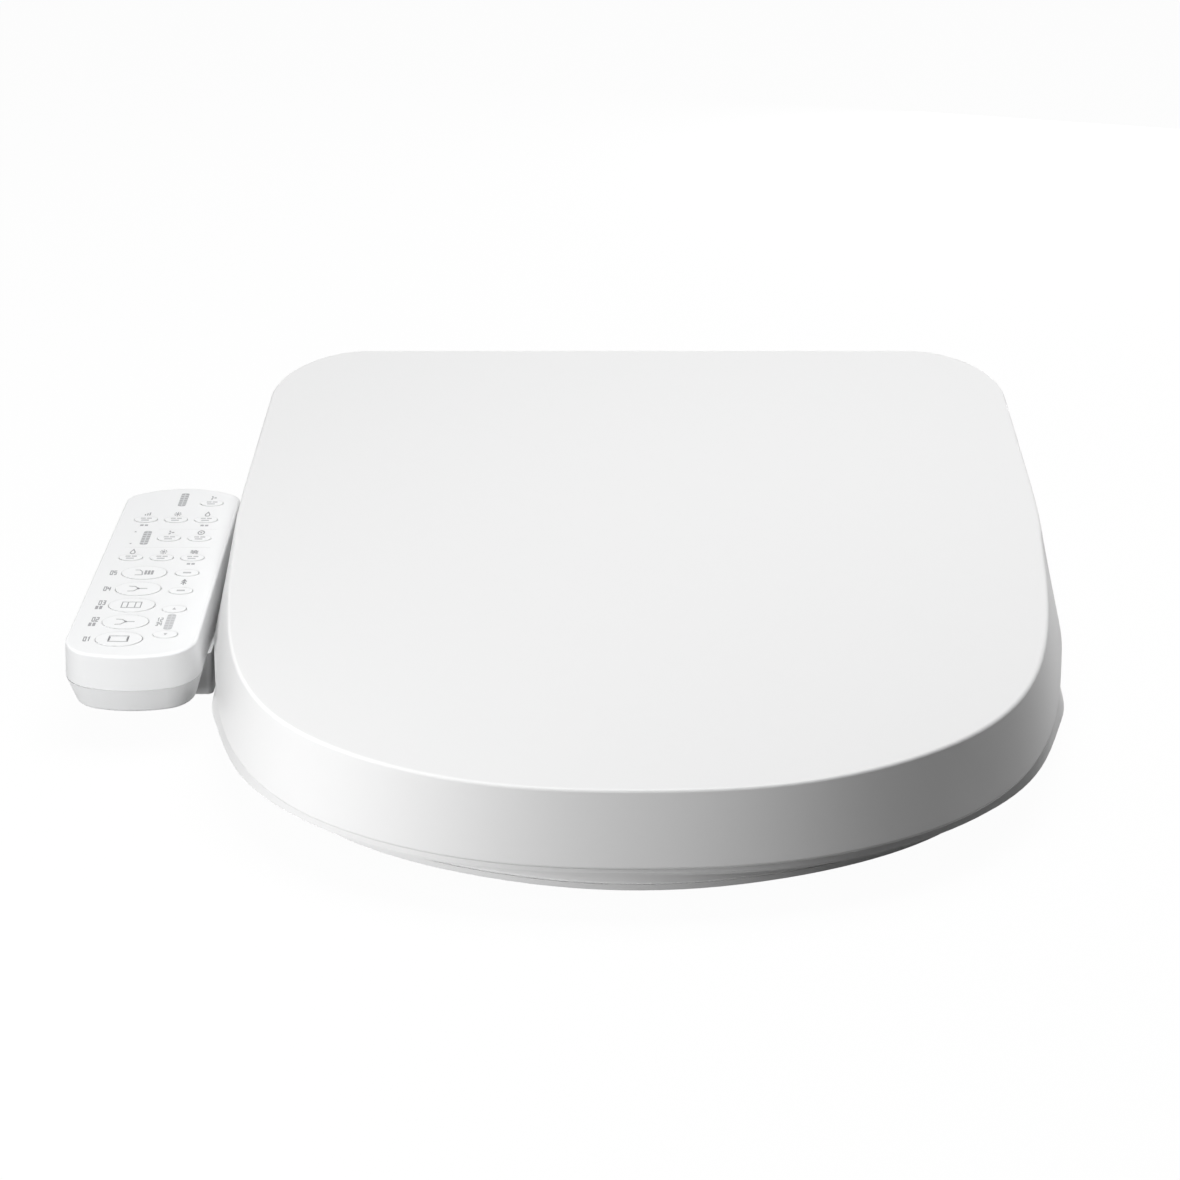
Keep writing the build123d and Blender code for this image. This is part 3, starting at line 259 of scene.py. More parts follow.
def coat_node(node: str, finish: Finish) -> None:
    """Give a solid its finish and shade its curved faces smoothly.

    Args:
        node: Name of the solid.
        finish: Surface that it gets.
    """
    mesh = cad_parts[node].data
    mesh.materials.clear()
    mesh.materials.append(finish.material())
    mesh.polygons.foreach_set("use_smooth", [True] * len(mesh.polygons))
    mesh.set_sharp_from_angle(angle=math.radians(NODE_SMOOTH))
    LOG.info("%s: %s", node, finish.name)


def add_mesh(name: str, points: Sequence[Vector], faces: Sequence[Sequence[int]], finish: Finish, body: str,
             slot: str) -> bpy.types.Object:
    """Make a new piece from points and faces.

    Args:
        name: Name of the piece.
        points: Corners in the part's frame, in metres.
        faces: Corner numbers of each face.
        finish: Surface of the piece.
        body: Body that it moves with.
        slot: Material slot of the record; not used.

    Returns:
        The new object.
    """
    mesh = bpy.data.meshes.new(name)
    mesh.from_pydata([tuple(point) for point in points], [], [list(face) for face in faces])
    shape = bmesh.new()
    shape.from_mesh(mesh)
    bmesh.ops.recalc_face_normals(shape, faces=shape.faces)
    shape.to_mesh(mesh)
    shape.free()
    mesh.polygons.foreach_set("use_smooth", [True] * len(mesh.polygons))
    mesh.set_sharp_from_angle(angle=math.radians(PIECE_SMOOTH))
    mesh.materials.append(finish.material())
    piece = bpy.data.objects.new(name, mesh)
    bpy.context.scene.collection.objects.link(piece)
    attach(piece, body)
    LOG.info("%s on %s", name, body)
    return piece


def stroke(path: Sequence[Point2], width: float, closed: bool = False) -> List[Polygon2]:
    """Turn a line into flat quads of an even width.

    Args:
        path: Corners of the line, in millimetres.
        width: Width of the line.
        closed: Whether the last corner joins the first.

    Returns:
        The quads, one for each run.
    """
    count = len(path)
    sides: List[Tuple[Point2, Point2]] = []
    for index in range(count):
        before = path[index - 1] if closed or index > 0 else path[index]
        after = path[(index + 1) % count] if closed or index < count - 1 else path[index]
        first = Vector(path[index]) - Vector(before)
        second = Vector(after) - Vector(path[index])
        first = first.normalized() if first.length > 0 else second.normalized()
        second = second.normalized() if second.length > 0 else first
        along = (first + second).normalized()
        reach = width / 2 / max(MITRE_LIMIT, along.dot(second))
        offset = Vector((-along.y, along.x)) * reach
        here = Vector(path[index])
        sides.append((tuple(here + offset), tuple(here - offset)))
    runs = count if closed else count - 1
    quads: List[Polygon2] = []
    for index in range(runs):
        left_a, right_a = sides[index]
        left_b, right_b = sides[(index + 1) % count]
        quads.append([right_a, right_b, left_b, left_a])
    return quads


def ring(radius_u: float, radius_v: float, steps: int, aside: float = 0.0) -> Polygon2:
    """Corners of an ellipse that lies to the right of the origin by a distance."""
    turns = [2 * math.pi * step / steps for step in range(steps)]
    return [(aside + radius_u * math.cos(turn), radius_v * math.sin(turn)) for turn in turns]


def turned(path: Iterable[Point2], turn: float) -> Polygon2:
    """Turn a flat path about the origin by an angle in radians."""
    along, aside = math.cos(turn), math.sin(turn)
    return [(u * along - v * aside, u * aside + v * along) for u, v in path]


@dataclass(frozen=True)
class Mark:
    """One line or solid shape of a pictogram, in units of half its width."""

    path: Sequence[Point2]
    weight: float = 1.0
    closed: bool = False
    solid: bool = False

    def polygons(self, size: float, width: float) -> List[Polygon2]:
        """Draw the mark about the origin.

        Args:
            size: Half the pictogram's width, in millimetres.
            width: Width of a line of weight 1.

        Returns:
            Flat polygons, in millimetres.
        """
        path = [(size * u, size * v) for u, v in self.path]
        return [path] if self.solid else stroke(path, self.weight * width, self.closed)


DROP_BELLY = [(0.62 * math.cos(turn), 0.62 * math.sin(turn) - 0.3)
              for turn in (math.radians(150 + 24 * step) for step in range(11))]


class Icon(Enum):
    """Plain pictograms printed on the panel, each a group of marks."""

    SPRAY = (
        Mark([(-1.0, 0.55), (-0.35, 0.5), (0.05, 0.05)]),
        Mark([(-1.0, -0.65), (-0.35, -0.6), (0.05, -0.05)]),
        Mark([(0.05, 0.0), (1.0, 0.0)]),
        Mark(ring(0.155435, 0.191304, 14, 0.05), solid=True),
    )
    SPLASH = (
        Mark([(-1.0, 0.6), (-0.5, 0.6), (-0.2, 0.2), (-0.1, -0.6)]),
        Mark([(-0.9, -0.6), (-0.1, -0.6)]),
        *(Mark([(u, -0.5), (u, 0.5)], weight=2.2) for u in (0.2, 0.55, 0.9)),
    )
    SEGMENTS = (
        Mark([(-1.0, -0.65), (1.0, -0.65), (1.0, 0.65), (-1.0, 0.65)], closed=True),
        *(Mark([(u, -0.65), (u, 0.65)]) for u in (-0.4, 0.4)),
    )
    SQUARE = (
        Mark([(-1.0, -0.62), (1.0, -0.62), (1.0, 0.62), (-1.0, 0.62)], closed=True),
        *(Mark([(u, -0.45), (u, 0.45)], weight=1.6) for u in (-0.94, 0.94)),
    )
    DROP = (Mark([(0.0, 1.0)] + DROP_BELLY, closed=True),)
    WAVES = tuple(Mark([(u / 6, v + 0.18 * math.sin(u * math.pi / 3)) for u in range(-6, 7)])
                  for v in (-0.5, 0.0, 0.5))
    SUN = (
        Mark(ring(0.42, 0.42, 16), solid=True),
        *(Mark(turned([(0.62, 0.0), (1.0, 0.0)], math.pi * step / 4)) for step in range(8)),
    )
    FAN = tuple(Mark(turned(ring(0.42, 0.26, 14, 0.55), 2 * math.pi * step / 3), solid=True)
                for step in range(3))
    TARGET = (Mark(ring(0.85, 0.85, 22), closed=True), Mark(ring(0.3, 0.3, 12), solid=True))
    STEPS = tuple(Mark([(u - 0.19, -0.7), (u + 0.19, -0.7), (u + 0.19, top), (u - 0.19, top)], solid=True)
                  for u, top in ((-0.62, -0.1), (0.0, 0.3), (0.62, 0.7)))
    UP = (Mark([(-0.8, -0.6), (0.8, -0.6), (0.0, 0.8)], solid=True),)
    DOWN = (Mark([(-0.8, 0.6), (0.0, -0.8), (0.8, 0.6)], solid=True),)
    DASH = (Mark([(-1.0, 0.0), (1.0, 0.0)]),)
    PAIR = (Mark([(-1.0, 0.0), (-0.15, 0.0)]), Mark([(0.15, 0.0), (1.0, 0.0)]))
    BRANCH = (
        Mark([(0.0, -1.0), (0.0, 1.0)]),
        Mark([(-0.7, 0.1), (0.0, 0.7), (0.7, 0.1)]),
        Mark([(-0.7, -0.6), (0.0, 0.0), (0.7, -0.6)]),
    )
    LINES = (
        Mark([(-1.0, 0.3), (-0.1, 0.3)], weight=1.6),
        Mark([(0.1, 0.3), (1.0, 0.3)], weight=1.6),
        Mark([(-0.8, -0.3), (0.6, -0.3)], weight=1.6),
    )

    def polygons(self, size: float, width: float) -> List[Polygon2]:
        """Draw the pictogram about the origin, from half its width and its lines' width."""
        return [polygon for mark in self.value for polygon in mark.polygons(size, width)]


DIGIT_PATHS: Dict[str, List[List[Point2]]] = {
    "0": [[(0, 0), (1, 0), (1, 2), (0, 2), (0, 0)]],
    "1": [[(0.2, 1.6), (0.6, 2), (0.6, 0)]],
    "2": [[(0, 2), (1, 2), (1, 1), (0, 1), (0, 0), (1, 0)]],
    "3": [[(0, 2), (1, 2), (1, 0), (0, 0)], [(0.2, 1), (1, 1)]],
    "4": [[(0, 2), (0, 1), (1, 1)], [(1, 2), (1, 0)]],
    "5": [[(1, 2), (0, 2), (0, 1), (1, 1), (1, 0), (0, 0)]],
}


def numeral(text: str, height: float, width: float) -> List[Polygon2]:
    """Draw plain numbers about the origin.

    Args:
        text: Digits to draw.
        height: Height of a digit, in millimetres.
        width: Width of the lines.

    Returns:
        Flat polygons, in millimetres.
    """
    unit = height / 2
    advance = DIGIT_ADVANCE * unit
    start = -(len(text) - 1) * advance / 2 - unit / 2
    drawn: List[Polygon2] = []
    for place, digit in enumerate(text):
        for path in DIGIT_PATHS[digit]:
            drawn += stroke([(start + place * advance + u * unit, (v - 1) * unit) for u, v in path], width)
    return drawn


def shifted(polygons: Iterable[Polygon2], u: float, v: float, tall: float = 1.0) -> List[Polygon2]:
    """Move flat polygons sideways and back.

    Args:
        polygons: Flat polygons about the origin, in millimetres.
        u: Distance to the right.
        v: Distance to the back.
        tall: How much the polygons are stretched to the back first.

    Returns:
        The moved polygons.
    """
    return [[(a + u, tall * b + v) for a, b in polygon] for polygon in polygons]


def island_centres(node: str, reach: float = 0.008) -> List[Vector]:
    """Find the middle of the underside of each separate lump of a solid.

    Args:
        node: Name of the solid.
        reach: Points nearer to a lump's first point than this, seen from above, belong to it.

    Returns:
        One point for each lump, at its lowest height, in metres.
    """
    lumps: List[List[Vector]] = []
    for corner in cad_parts[node].data.vertices:
        for lump in lumps:
            if (corner.co.xy - lump[0].xy).length < reach:
                lump.append(corner.co.copy())
                break
        else:
            lumps.append([corner.co.copy()])
    centres: List[Vector] = []
    for lump in lumps:
        across = [point.x for point in lump]
        along = [point.y for point in lump]
        low = min(point.z for point in lump)
        centres.append(Vector(((min(across) + max(across)) / 2, (min(along) + max(along)) / 2, low)))
    return centres


def lathe(rings: Sequence[Sequence[Vector]]) -> Skin:
    """Join rows of points into a closed skin with flat ends.

    Args:
        rings: Rows of points, each going once round.

    Returns:
        The points and the faces.
    """
    points = [point for row in rings for point in row]
    count = len(rings[0])
    faces: List[List[int]] = []
    for row in range(len(rings) - 1):
        here, there = row * count, (row + 1) * count
        for step in range(count):
            after = (step + 1) % count
            faces.append([here + step, here + after, there + after, there + step])
    faces.append(list(reversed(range(count))))
    faces.append([(len(rings) - 1) * count + step for step in range(count)])
    return points, faces


def round_row(centre: Vector, across: Vector, upright: Vector, radius: float, steps: int) -> List[Vector]:
    """Points of a circle about a centre, from two directions across it."""
    turns = [2 * math.pi * step / steps for step in range(steps)]
    return [centre + radius * (math.cos(turn) * across + math.sin(turn) * upright) for turn in turns]


def merged(skins: Iterable[Skin]) -> Skin:
    """Put several skins into one.

    Args:
        skins: Points and faces of each skin.

    Returns:
        All the points, and the faces with their corners counted through.
    """
    points: List[Vector] = []
    faces: List[List[int]] = []
    for more_points, more_faces in skins:
        faces += [[len(points) + corner for corner in face] for face in more_faces]
        points += more_points
    return points, faces


def prism(outline: Sequence[Vector], rise: Vector) -> Skin:
    """Raise a flat outline into a thin plate."""
    return lathe([list(outline), [point + rise for point in outline]])


@dataclass
class PanelFace:
    """The sloping top face of the control panel, in millimetres."""

    origin: Point3 = (-238.9, -304.0, 49.5)
    slope: float = 5.0
    turn: float = 0.8
    ink_low: float = 0.005
    ink_high: float = 0.04

    def axes(self) -> Tuple[Vector, Vector, Vector]:
        """Work out how the face lies.

        Returns:
            Directions to the right, to the back and away from the face.
        """
        lean, aside = math.radians(self.slope), math.radians(self.turn)
        across = Vector((math.cos(aside), -math.sin(aside), 0.0))
        forward = -math.sin(lean)
        upright = Vector((forward * math.sin(aside), forward * math.cos(aside), math.cos(lean)))
        return across, upright.cross(across), upright

    def point(self, u: float, v: float, height: float) -> Vector:
        """Place a point of the face in the part's frame.

        Args:
            u: Distance to the right of the centre line.
            v: Distance back from the front edge.
            height: Distance above the face.

        Returns:
            The point, in metres.
        """
        across, back, upright = self.axes()
        return (Vector(self.origin) + u * across + v * back + height * upright) * MM

    def place_of(self, node: str) -> Point2:
        """Find the centre of a node along the face.

        Args:
            node: Name of the solid.

        Returns:
            Its distance to the right of the centre line and back from the front edge.
        """
        low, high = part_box(node)
        middle = (low + high) / 2 / MM - Vector(self.origin)
        across, back, _ = self.axes()
        return (middle.dot(across), middle.dot(back))

    def print_marks(self, name: str, polygons: Sequence[Polygon2], height: float, finish: Finish,
                    body: str) -> None:
        """Print flat polygons on the face as thin raised ink.

        Args:
            name: Name of the new piece.
            polygons: Flat polygons, in millimetres.
            height: Height of the printed surface above the face.
            finish: Ink.
            body: Body that carries the print.
        """
        skins: List[Skin] = []
        for polygon in polygons:
            foot = [self.point(u, v, height + self.ink_low) for u, v in polygon]
            head = [self.point(u, v, height + self.ink_high) for u, v in polygon]
            skins.append(lathe([foot, head]))
        add_mesh(name, *merged(skins), finish, body, "light_bar")


@dataclass
class ControlPanel:
    """Side panel with its case, keys, light bars and print, in millimetres."""

    face: PanelFace = field(default_factory=PanelFace)
    body: str = "main_unit"
    key_proud: float = 0.25
    line: float = 0.55
    fine_line: float = 0.42
    bold_line: float = 0.62
    outline: float = 0.3
    outline_gap: float = 0.55
    outline_steps: int = 44
    divider_rows: Tuple[Point3, ...] = ((-7.0, 22.5, 141.6), (-20.5, 22.5, 119.8))
    large_half: Point2 = (11.0, 7.2)
    small_half: Point2 = (5.7, 3.5)
    large_count: int = 5
    small_count: int = 13
    large_icons: Tuple[Icon, ...] = (Icon.SQUARE, Icon.SPRAY, Icon.SEGMENTS, Icon.SPRAY, Icon.SPLASH)
    large_icon_half: float = 4.6
    large_icon_aside: float = -0.2
    small_marks: Dict[int, Tuple[Icon, float, float]] = field(default_factory=lambda: {
        1: (Icon.DASH, 2.0, 2.0), 2: (Icon.DASH, 2.0, 2.0), 3: (Icon.UP, 1.2, 1.0), 4: (Icon.DOWN, 1.2, 1.0),
    })
    plain_mark: Tuple[Icon, float, float] = (Icon.LINES, 2.8, 1.0)
    small_icons: Dict[int, Icon] = field(default_factory=lambda: {
        5: Icon.DROP, 6: Icon.SUN, 7: Icon.WAVES, 8: Icon.FAN, 9: Icon.TARGET,
        10: Icon.STEPS, 11: Icon.SUN, 12: Icon.DROP, 13: Icon.FAN,
    })
    small_icon_rise: float = 6.9
    small_icon_half: float = 1.85
    small_icon_aside: float = -0.1
    icon_tall: float = 1.4
    captioned: Tuple[int, ...] = (7, 10, 12)
    caption_half: float = 2.0
    caption_height: float = 1.7
    caption_aside: float = 0.2
    caption_drop: float = 6.9
    branch_half: float = 1.8
    tick_half: float = 0.9
    ticks: Tuple[Tuple[Icon, float, float], ...] = ((Icon.UP, -6.4, 7.3), (Icon.DOWN, -6.6, -7.0))
    label_gap: float = 15.2
    label_aside: float = 0.4
    label_height: float = 2.2
    label_tall: float = 1.8
    label_rows: Tuple[int, ...] = (2, 3)
    label_pitch: float = 5.2
    label_dash_half: float = 1.7
    label_dash_fill: float = 0.9
    level_place: Point2 = (15.4, 36.5)
    level_numbers: Tuple[Tuple[str, float], ...] = (("12", 2.3), ("34", -2.3))
    level_number_height: float = 1.9
    level_number_gap: float = 5.0
    light_places: Tuple[Point2, ...] = ((-11.8, 131.0), (0.1, 178.0))
    light_rows: int = 6
    light_length: float = 16.2
    light_half: float = 1.9
    light_fill: float = 0.6

    def dress(self) -> None:
        """Give the panel's solids their finishes."""
        for node in ("panel_top_case", "panel_bottom_case", "panel_arm"):
            coat_node(node, WHITE_PANEL)
        coat_node("key_board", BOARD_GREEN)
        coat_node("indicator_windows", LIGHT_BAR)
        for number in range(1, self.large_count + 1):
            coat_node(f"large_key_{number}", WHITE_KEY)
        for number in range(1, self.small_count + 1):
            coat_node(f"small_key_{number}", WHITE_KEY)

    def build(self) -> None:
        """Print the marks on the keys and beside them."""
        for number, icon in enumerate(self.large_icons, 1):
            self._mark_large_key(number, icon)
        for number in range(1, self.small_count + 1):
            self._mark_small_key(number)
        self._print_outlines()
        self._print_icons()
        self._print_labels()
        self._print_lights()

    def _mark_large_key(self, number: int, icon: Icon) -> None:
        """Print a pictogram on one large key.

        Args:
            number: Number of the key.
            icon: Pictogram that it gets.
        """
        node = f"large_key_{number}"
        u, v = self.face.place_of(node)
        drawn = icon.polygons(self.large_icon_half, self.line)
        marks = shifted(drawn, u + self.large_icon_aside, v)
        self.face.print_marks(f"{node}_mark", marks, self.key_proud, PRINT_INK, node)

    def _mark_small_key(self, number: int) -> None:
        """Print a short mark on one small key.

        Args:
            number: Number of the key.
        """
        node = f"small_key_{number}"
        u, v = self.face.place_of(node)
        icon, half, weight = self.small_marks.get(number, self.plain_mark)
        marks = shifted(icon.polygons(half, weight * self.line), u, v, self.icon_tall)
        self.face.print_marks(f"{node}_mark", marks, self.key_proud, PALE_INK, node)

    def _print_outlines(self) -> None:
        """Print a thin oval round each key and the fine lines between the rows."""
        marks: List[Polygon2] = []
        for group, count, (half_u, half_v) in (("large_key", self.large_count, self.large_half),
                                               ("small_key", self.small_count, self.small_half)):
            edge = ring(half_u + self.outline_gap, half_v + self.outline_gap, self.outline_steps)
            oval = stroke(edge, self.outline, True)
            for number in range(1, count + 1):
                marks += shifted(oval, *self.face.place_of(f"{group}_{number}"))
        for start, end, v in self.divider_rows:
            marks += stroke([(start, v), (end, v)], self.outline)
        self.face.print_marks("key_outlines", marks, 0.0, OUTLINE_INK, self.body)

    def _print_icons(self) -> None:
        """Print the pictograms and captions beside the small keys."""
        marks: List[Polygon2] = []
        caption = Icon.PAIR.polygons(self.caption_half, self.caption_height)
        for number, icon in self.small_icons.items():
            u, v = self.face.place_of(f"small_key_{number}")
            drawn = icon.polygons(self.small_icon_half, self.bold_line)
            marks += shifted(drawn, u + self.small_icon_aside, v + self.small_icon_rise, self.icon_tall)
            if number in self.captioned:
                marks += shifted(caption, u + self.caption_aside, v - self.caption_drop)
        upper, lower = self.face.place_of("small_key_1"), self.face.place_of("small_key_2")
        branch = Icon.BRANCH.polygons(self.branch_half, self.bold_line)
        marks += shifted(branch, upper[0], (upper[1] + lower[1]) / 2, self.label_tall)
        bar_u, bar_v = self.light_places[0]
        for icon, aside, rise in self.ticks:
            marks += shifted(icon.polygons(self.tick_half, self.line), bar_u + aside, bar_v + rise)
        self.face.print_marks("panel_icons", marks, 0.0, PRINT_INK, self.body)

    def _print_labels(self) -> None:
        """Print the numbers beside the large keys and the level light."""
        marks: List[Polygon2] = []
        dashes = Icon.PAIR.polygons(self.label_dash_half, self.label_dash_fill * self.label_height)
        rise = self.label_pitch / 2
        for number in range(1, self.large_count + 1):
            u, v = self.face.place_of(f"large_key_{number}")
            drawn = numeral(f"0{number}", self.label_height, self.line)
            start = u - self.label_gap
            if number in self.label_rows:
                marks += shifted(drawn, start + self.label_aside, v + rise, self.label_tall)
                marks += shifted(dashes, start - self.label_aside, v - rise, self.label_tall)
            else:
                marks += shifted(drawn, start, v, self.label_tall)
        level_u, level_v = self.level_place
        for text, above in self.level_numbers:
            drawn = numeral(text, self.level_number_height, self.fine_line)
            marks += shifted(drawn, level_u - self.level_number_gap, level_v + above, self.label_tall)
        self.face.print_marks("panel_numbers", marks, 0.0, PRINT_INK, self.body)

    def _light_column(self, u: float, v: float) -> List[Polygon2]:
        """Draw the rows of one light bar.

        Args:
            u: Distance of its middle to the right of the centre line.
            v: Distance of its middle back from the front edge.

        Returns:
            Flat polygons, in millimetres.
        """
        pitch = self.light_length / self.light_rows
        pair = Icon.PAIR.polygons(self.light_half, self.light_fill * pitch)
        rows: List[Polygon2] = []
        for row in range(self.light_rows):
            rows += shifted(pair, u, v + (row - (self.light_rows - 1) / 2) * pitch)
        return rows

    def _print_lights(self) -> None:
        """Print the rows of each light bar, the level light paler than the rest."""
        marks: List[Polygon2] = []
        for place in self.light_places:
            marks += self._light_column(*place)
        self.face.print_marks("light_rows", marks, 0.0, PRINT_INK, self.body)
        level = self._light_column(*self.level_place)
        self.face.print_marks("level_rows", level, 0.0, PALE_INK, self.body)


@dataclass
class Assembly:
    """A group of solids that each get one finish."""

    nodes: Dict[str, Finish]

    def dress(self) -> None:
        """Give each solid its finish."""
        for node, finish in self.nodes.items():
            coat_node(node, finish)


@dataclass
class Lid(Assembly):
    """Lid shell and its rubber buttons."""

    nodes: Dict[str, Finish] = field(default_factory=lambda: {
        "lid_shell": WHITE_SHELL, "lid_bumpers": PAD_RUBBER,
    })


@dataclass
class Seat(Assembly):
    """Seat ring with its shells, heater, pads and screws."""

    nodes: Dict[str, Finish] = field(default_factory=lambda: {
        "seat_upper_shell": WHITE_SHELL, "seat_lower_shell": WHITE_CASE, "seat_heater": FOIL,
        "seat_bumpers": PAD_RUBBER, "seat_screws": PIN_STEEL,
    })


@dataclass
class MainUnit(Assembly):
    """Housing behind the seat with its hinge, water, wash and dryer pieces."""

    nodes: Dict[str, Finish] = field(default_factory=lambda: {
        "upper_cover": WHITE_SHELL, "lower_case": WHITE_CASE, "left_hinge_pin": PIN_STEEL,
        "right_hinge_pin": PIN_STEEL, "left_damper": DARK_PLASTIC, "right_damper": DARK_PLASTIC,
        "case_screws": PIN_STEEL, "mounting_plate": PLATE_PLASTIC, "release_button": WHITE_KEY,
        "inlet_fitting": INLET_BRASS, "inlet_valve": DARK_PLASTIC, "cord_gland": GLAND_RUBBER,
        "water_tank": TANK_PLASTIC, "flow_pump": DARK_PLASTIC, "main_board": BOARD_GREEN,
        "nozzle_guide": PLATE_PLASTIC, "front_wash_nozzle": WHITE_SHELL, "rear_wash_nozzle": WHITE_SHELL,
        "front_wash_pinion": GEAR_PLASTIC, "rear_wash_pinion": GEAR_PLASTIC, "front_wash_motor": PIN_STEEL,
        "rear_wash_motor": PIN_STEEL, "fan_housing": DARK_PLASTIC, "fan_wheel": DARK_PLASTIC,
        "outlet_duct": PLATE_PLASTIC, "outlet_flap": WHITE_SHELL,
    })


@dataclass
class WaterInlet:
    """Threaded nipple that takes the water hose, in millimetres."""

    node: str = "inlet_fitting"
    body: str = "main_unit"
    crest: float = 10.48
    crest_gain: float = 1.25
    root: float = 9.4
    collar: float = 11.38
    collar_width: float = 2.5
    reach: float = 13.0
    bore: float = 7.0
    pitch: float = 1.814
    run_out: float = 0.9
    steps: int = 56
    rows_per_turn: int = 10

    def _row(self, y: float, radii: Sequence[float]) -> List[Vector]:
        """Go once round the nipple.

        Args:
            y: Depth of the row, in metres.
            radii: Radius of each point.

        Returns:
            The points of the row.
        """
        low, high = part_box(self.node)
        x, z = (low.x + high.x) / 2, (low.z + high.z) / 2
        row: List[Vector] = []
        for step, radius in enumerate(radii):
            turn = 2 * math.pi * step / self.steps
            row.append(Vector((x + radius * MM * math.cos(turn), y, z + radius * MM * math.sin(turn))))
        return row

    def _even(self, y: float, radius: float) -> List[Vector]:
        """A round row at a depth in metres."""
        return self._row(y, [radius] * self.steps)

    def _thread(self, start: float, end: float) -> List[List[Vector]]:
        """Rows of a screw thread between two depths.

        Args:
            start: Where the thread starts, in metres.
            end: Where it ends.

        Returns:
            Rows of points from start to end.
        """
        pitch = self.pitch * MM
        count = int((end - start) / pitch * self.rows_per_turn)
        rows: List[List[Vector]] = []
        for row in range(count + 1):
            y = start + (end - start) * row / count
            fade = min(1.0, (y - start) / pitch, (end - y) / pitch)
            radii: List[float] = []
            for step in range(self.steps):
                phase = ((y - start) / pitch - step / self.steps) % 1.0
                ridge = min(1.0, self.crest_gain * (1.0 - abs(2.0 * phase - 1.0)))
                radii.append(self.root + (self.crest - self.root) * ridge * fade)
            rows.append(self._row(y, radii))
        return rows

    def build(self) -> None:
        """Cut the nipple with its collar, thread and bore."""
        low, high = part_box(self.node)
        wall = high.y - self.reach * MM
        face = wall + self.collar_width * MM
        run_out = self.run_out * MM
        rows = [self._even(low.y, self.crest), self._even(wall, self.crest)]
        rows += [self._even(wall, self.collar), self._even(face, self.collar), self._even(face, self.root)]
        rows += self._thread(face + run_out, high.y - run_out)
        rows += [self._even(high.y, self.root - self.run_out / 2), self._even(high.y, self.bore)]
        rows.append(self._even(wall, self.bore))
        points, faces = lathe(rows)
        nipple = add_mesh("threaded_nipple", points, faces, INLET_BRASS, self.body, "inlet_brass")
        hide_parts(self.node)


@dataclass
class SprayHoles:
    """Raised rims round the spray holes on top of the two wash nozzles, with dark discs of painted shade in
    the holes, in millimetres.
    """

    exit_point: Point3 = (0.0, -85.0, 15.0)
    angle: float = 25.0
    spacing: float = 22.0
    radius: float = 6.0
    along: float = 9.5
    hole: float = 0.5
    hole_flare: float = 1.15
    rim: float = 0.95
    rim_taper: float = 0.85
    proud: float = 0.16
    steps: int = 18
    rear_layout: Tuple[Point2, ...] = ((0.0, 1.7), (-1.5, -0.9), (1.5, -0.9))
    front_layout: Tuple[Point2, ...] = ((0.0, 0.0), (-2.0, 0.0), (2.0, 0.0), (0.0, 2.0), (0.0, -2.0))

    def _turned(self, place: Point2, side: int, profile: Sequence[Point2]) -> Skin:
        """Turn a profile about one hole.

        Args:
            place: Distance of the hole to the right and back from the middle of its group.
            side: -1 for the left nozzle, 1 for the right one.
            profile: Radius and height above the nozzle's skin, row by row.

        Returns:
            The skin of the turned shape.
        """
        lean = math.radians(self.angle)
        back = Vector((0.0, math.cos(lean), math.sin(lean)))
        upright = Vector((0.0, -math.sin(lean), math.cos(lean)))
        tilt = math.asin(place[0] / self.radius)
        outward = math.sin(tilt) * RIGHT + math.cos(tilt) * upright
        axis = Vector(self.exit_point) + side * self.spacing / 2 * RIGHT + (self.along + place[1]) * back
        foot = axis + self.radius * outward
        across = back.cross(outward)
        rows = [round_row((foot + height * outward) * MM, across, back, radius * MM, self.steps)
                for radius, height in profile]
        return lathe(rows)

    def build(self) -> None:
        """Set the rims and the dark discs of painted hole shade on both nozzles."""
        floor, top = self.proud / 4, self.proud / 2
        rim_profile = ((self.rim, -self.proud), (self.rim_taper * self.rim, self.proud),
                       (self.hole_flare * self.hole, self.proud), (self.hole, floor))
        hole_shade_profile = ((self.hole, floor), (self.hole, top))
        for side, wash, layout in ((-1, "rear_wash", self.rear_layout), (1, "front_wash", self.front_layout)):
            rims = merged(self._turned(place, side, rim_profile) for place in layout)
            add_mesh(f"{wash}_spray_rims", *rims, WHITE_CASE, f"{wash}_nozzle", "nozzle_white")
            # Dark discs of painted shade fill each rim's opening, standing in for the depth of the hole.
            hole_shades = merged(self._turned(place, side, hole_shade_profile) for place in layout)
            add_mesh(f"{wash}_spray_hole_shade", *hole_shades, PAINTED_RECESS_SHADE, f"{wash}_nozzle", "nozzle_white")


@dataclass
class ScrewHeads:
    """Dark crosses of painted shade standing in for the screw heads' cross recesses on the underside, in
    millimetres.
    """

    arm: float = 2.0
    half_width: float = 0.5
    depth: float = 0.05

    def _cross(self, centre: Vector) -> Skin:
        """Make a thin dark plate in the shape of a cross, as painted recess shade.

        Args:
            centre: Middle of the head's underside, in metres.

        Returns:
            The skin of the plate.
        """
        a, b = self.arm * MM, self.half_width * MM
        corners = ((a, -b), (a, b), (b, b), (b, a), (-b, a), (-b, b),
                   (-a, b), (-a, -b), (-b, -b), (-b, -a), (b, -a), (b, -b))
        outline = [centre + Vector((x, y, -self.depth * MM)) for x, y in corners]
        return prism(outline, self.depth / 2 * MM * UPWARD)

    def build(self) -> None:
        """Set a cross of painted recess shade on every head."""
        for node, body in (("case_screws", "main_unit"), ("seat_screws", "seat")):
            # Each cross is a thin plate of painted shade, not a cut recess.
            crosses = merged(self._cross(centre) for centre in island_centres(node))
            add_mesh(f"{node}_recess", *crosses, PAINTED_RECESS_SHADE, body, "pin_steel")


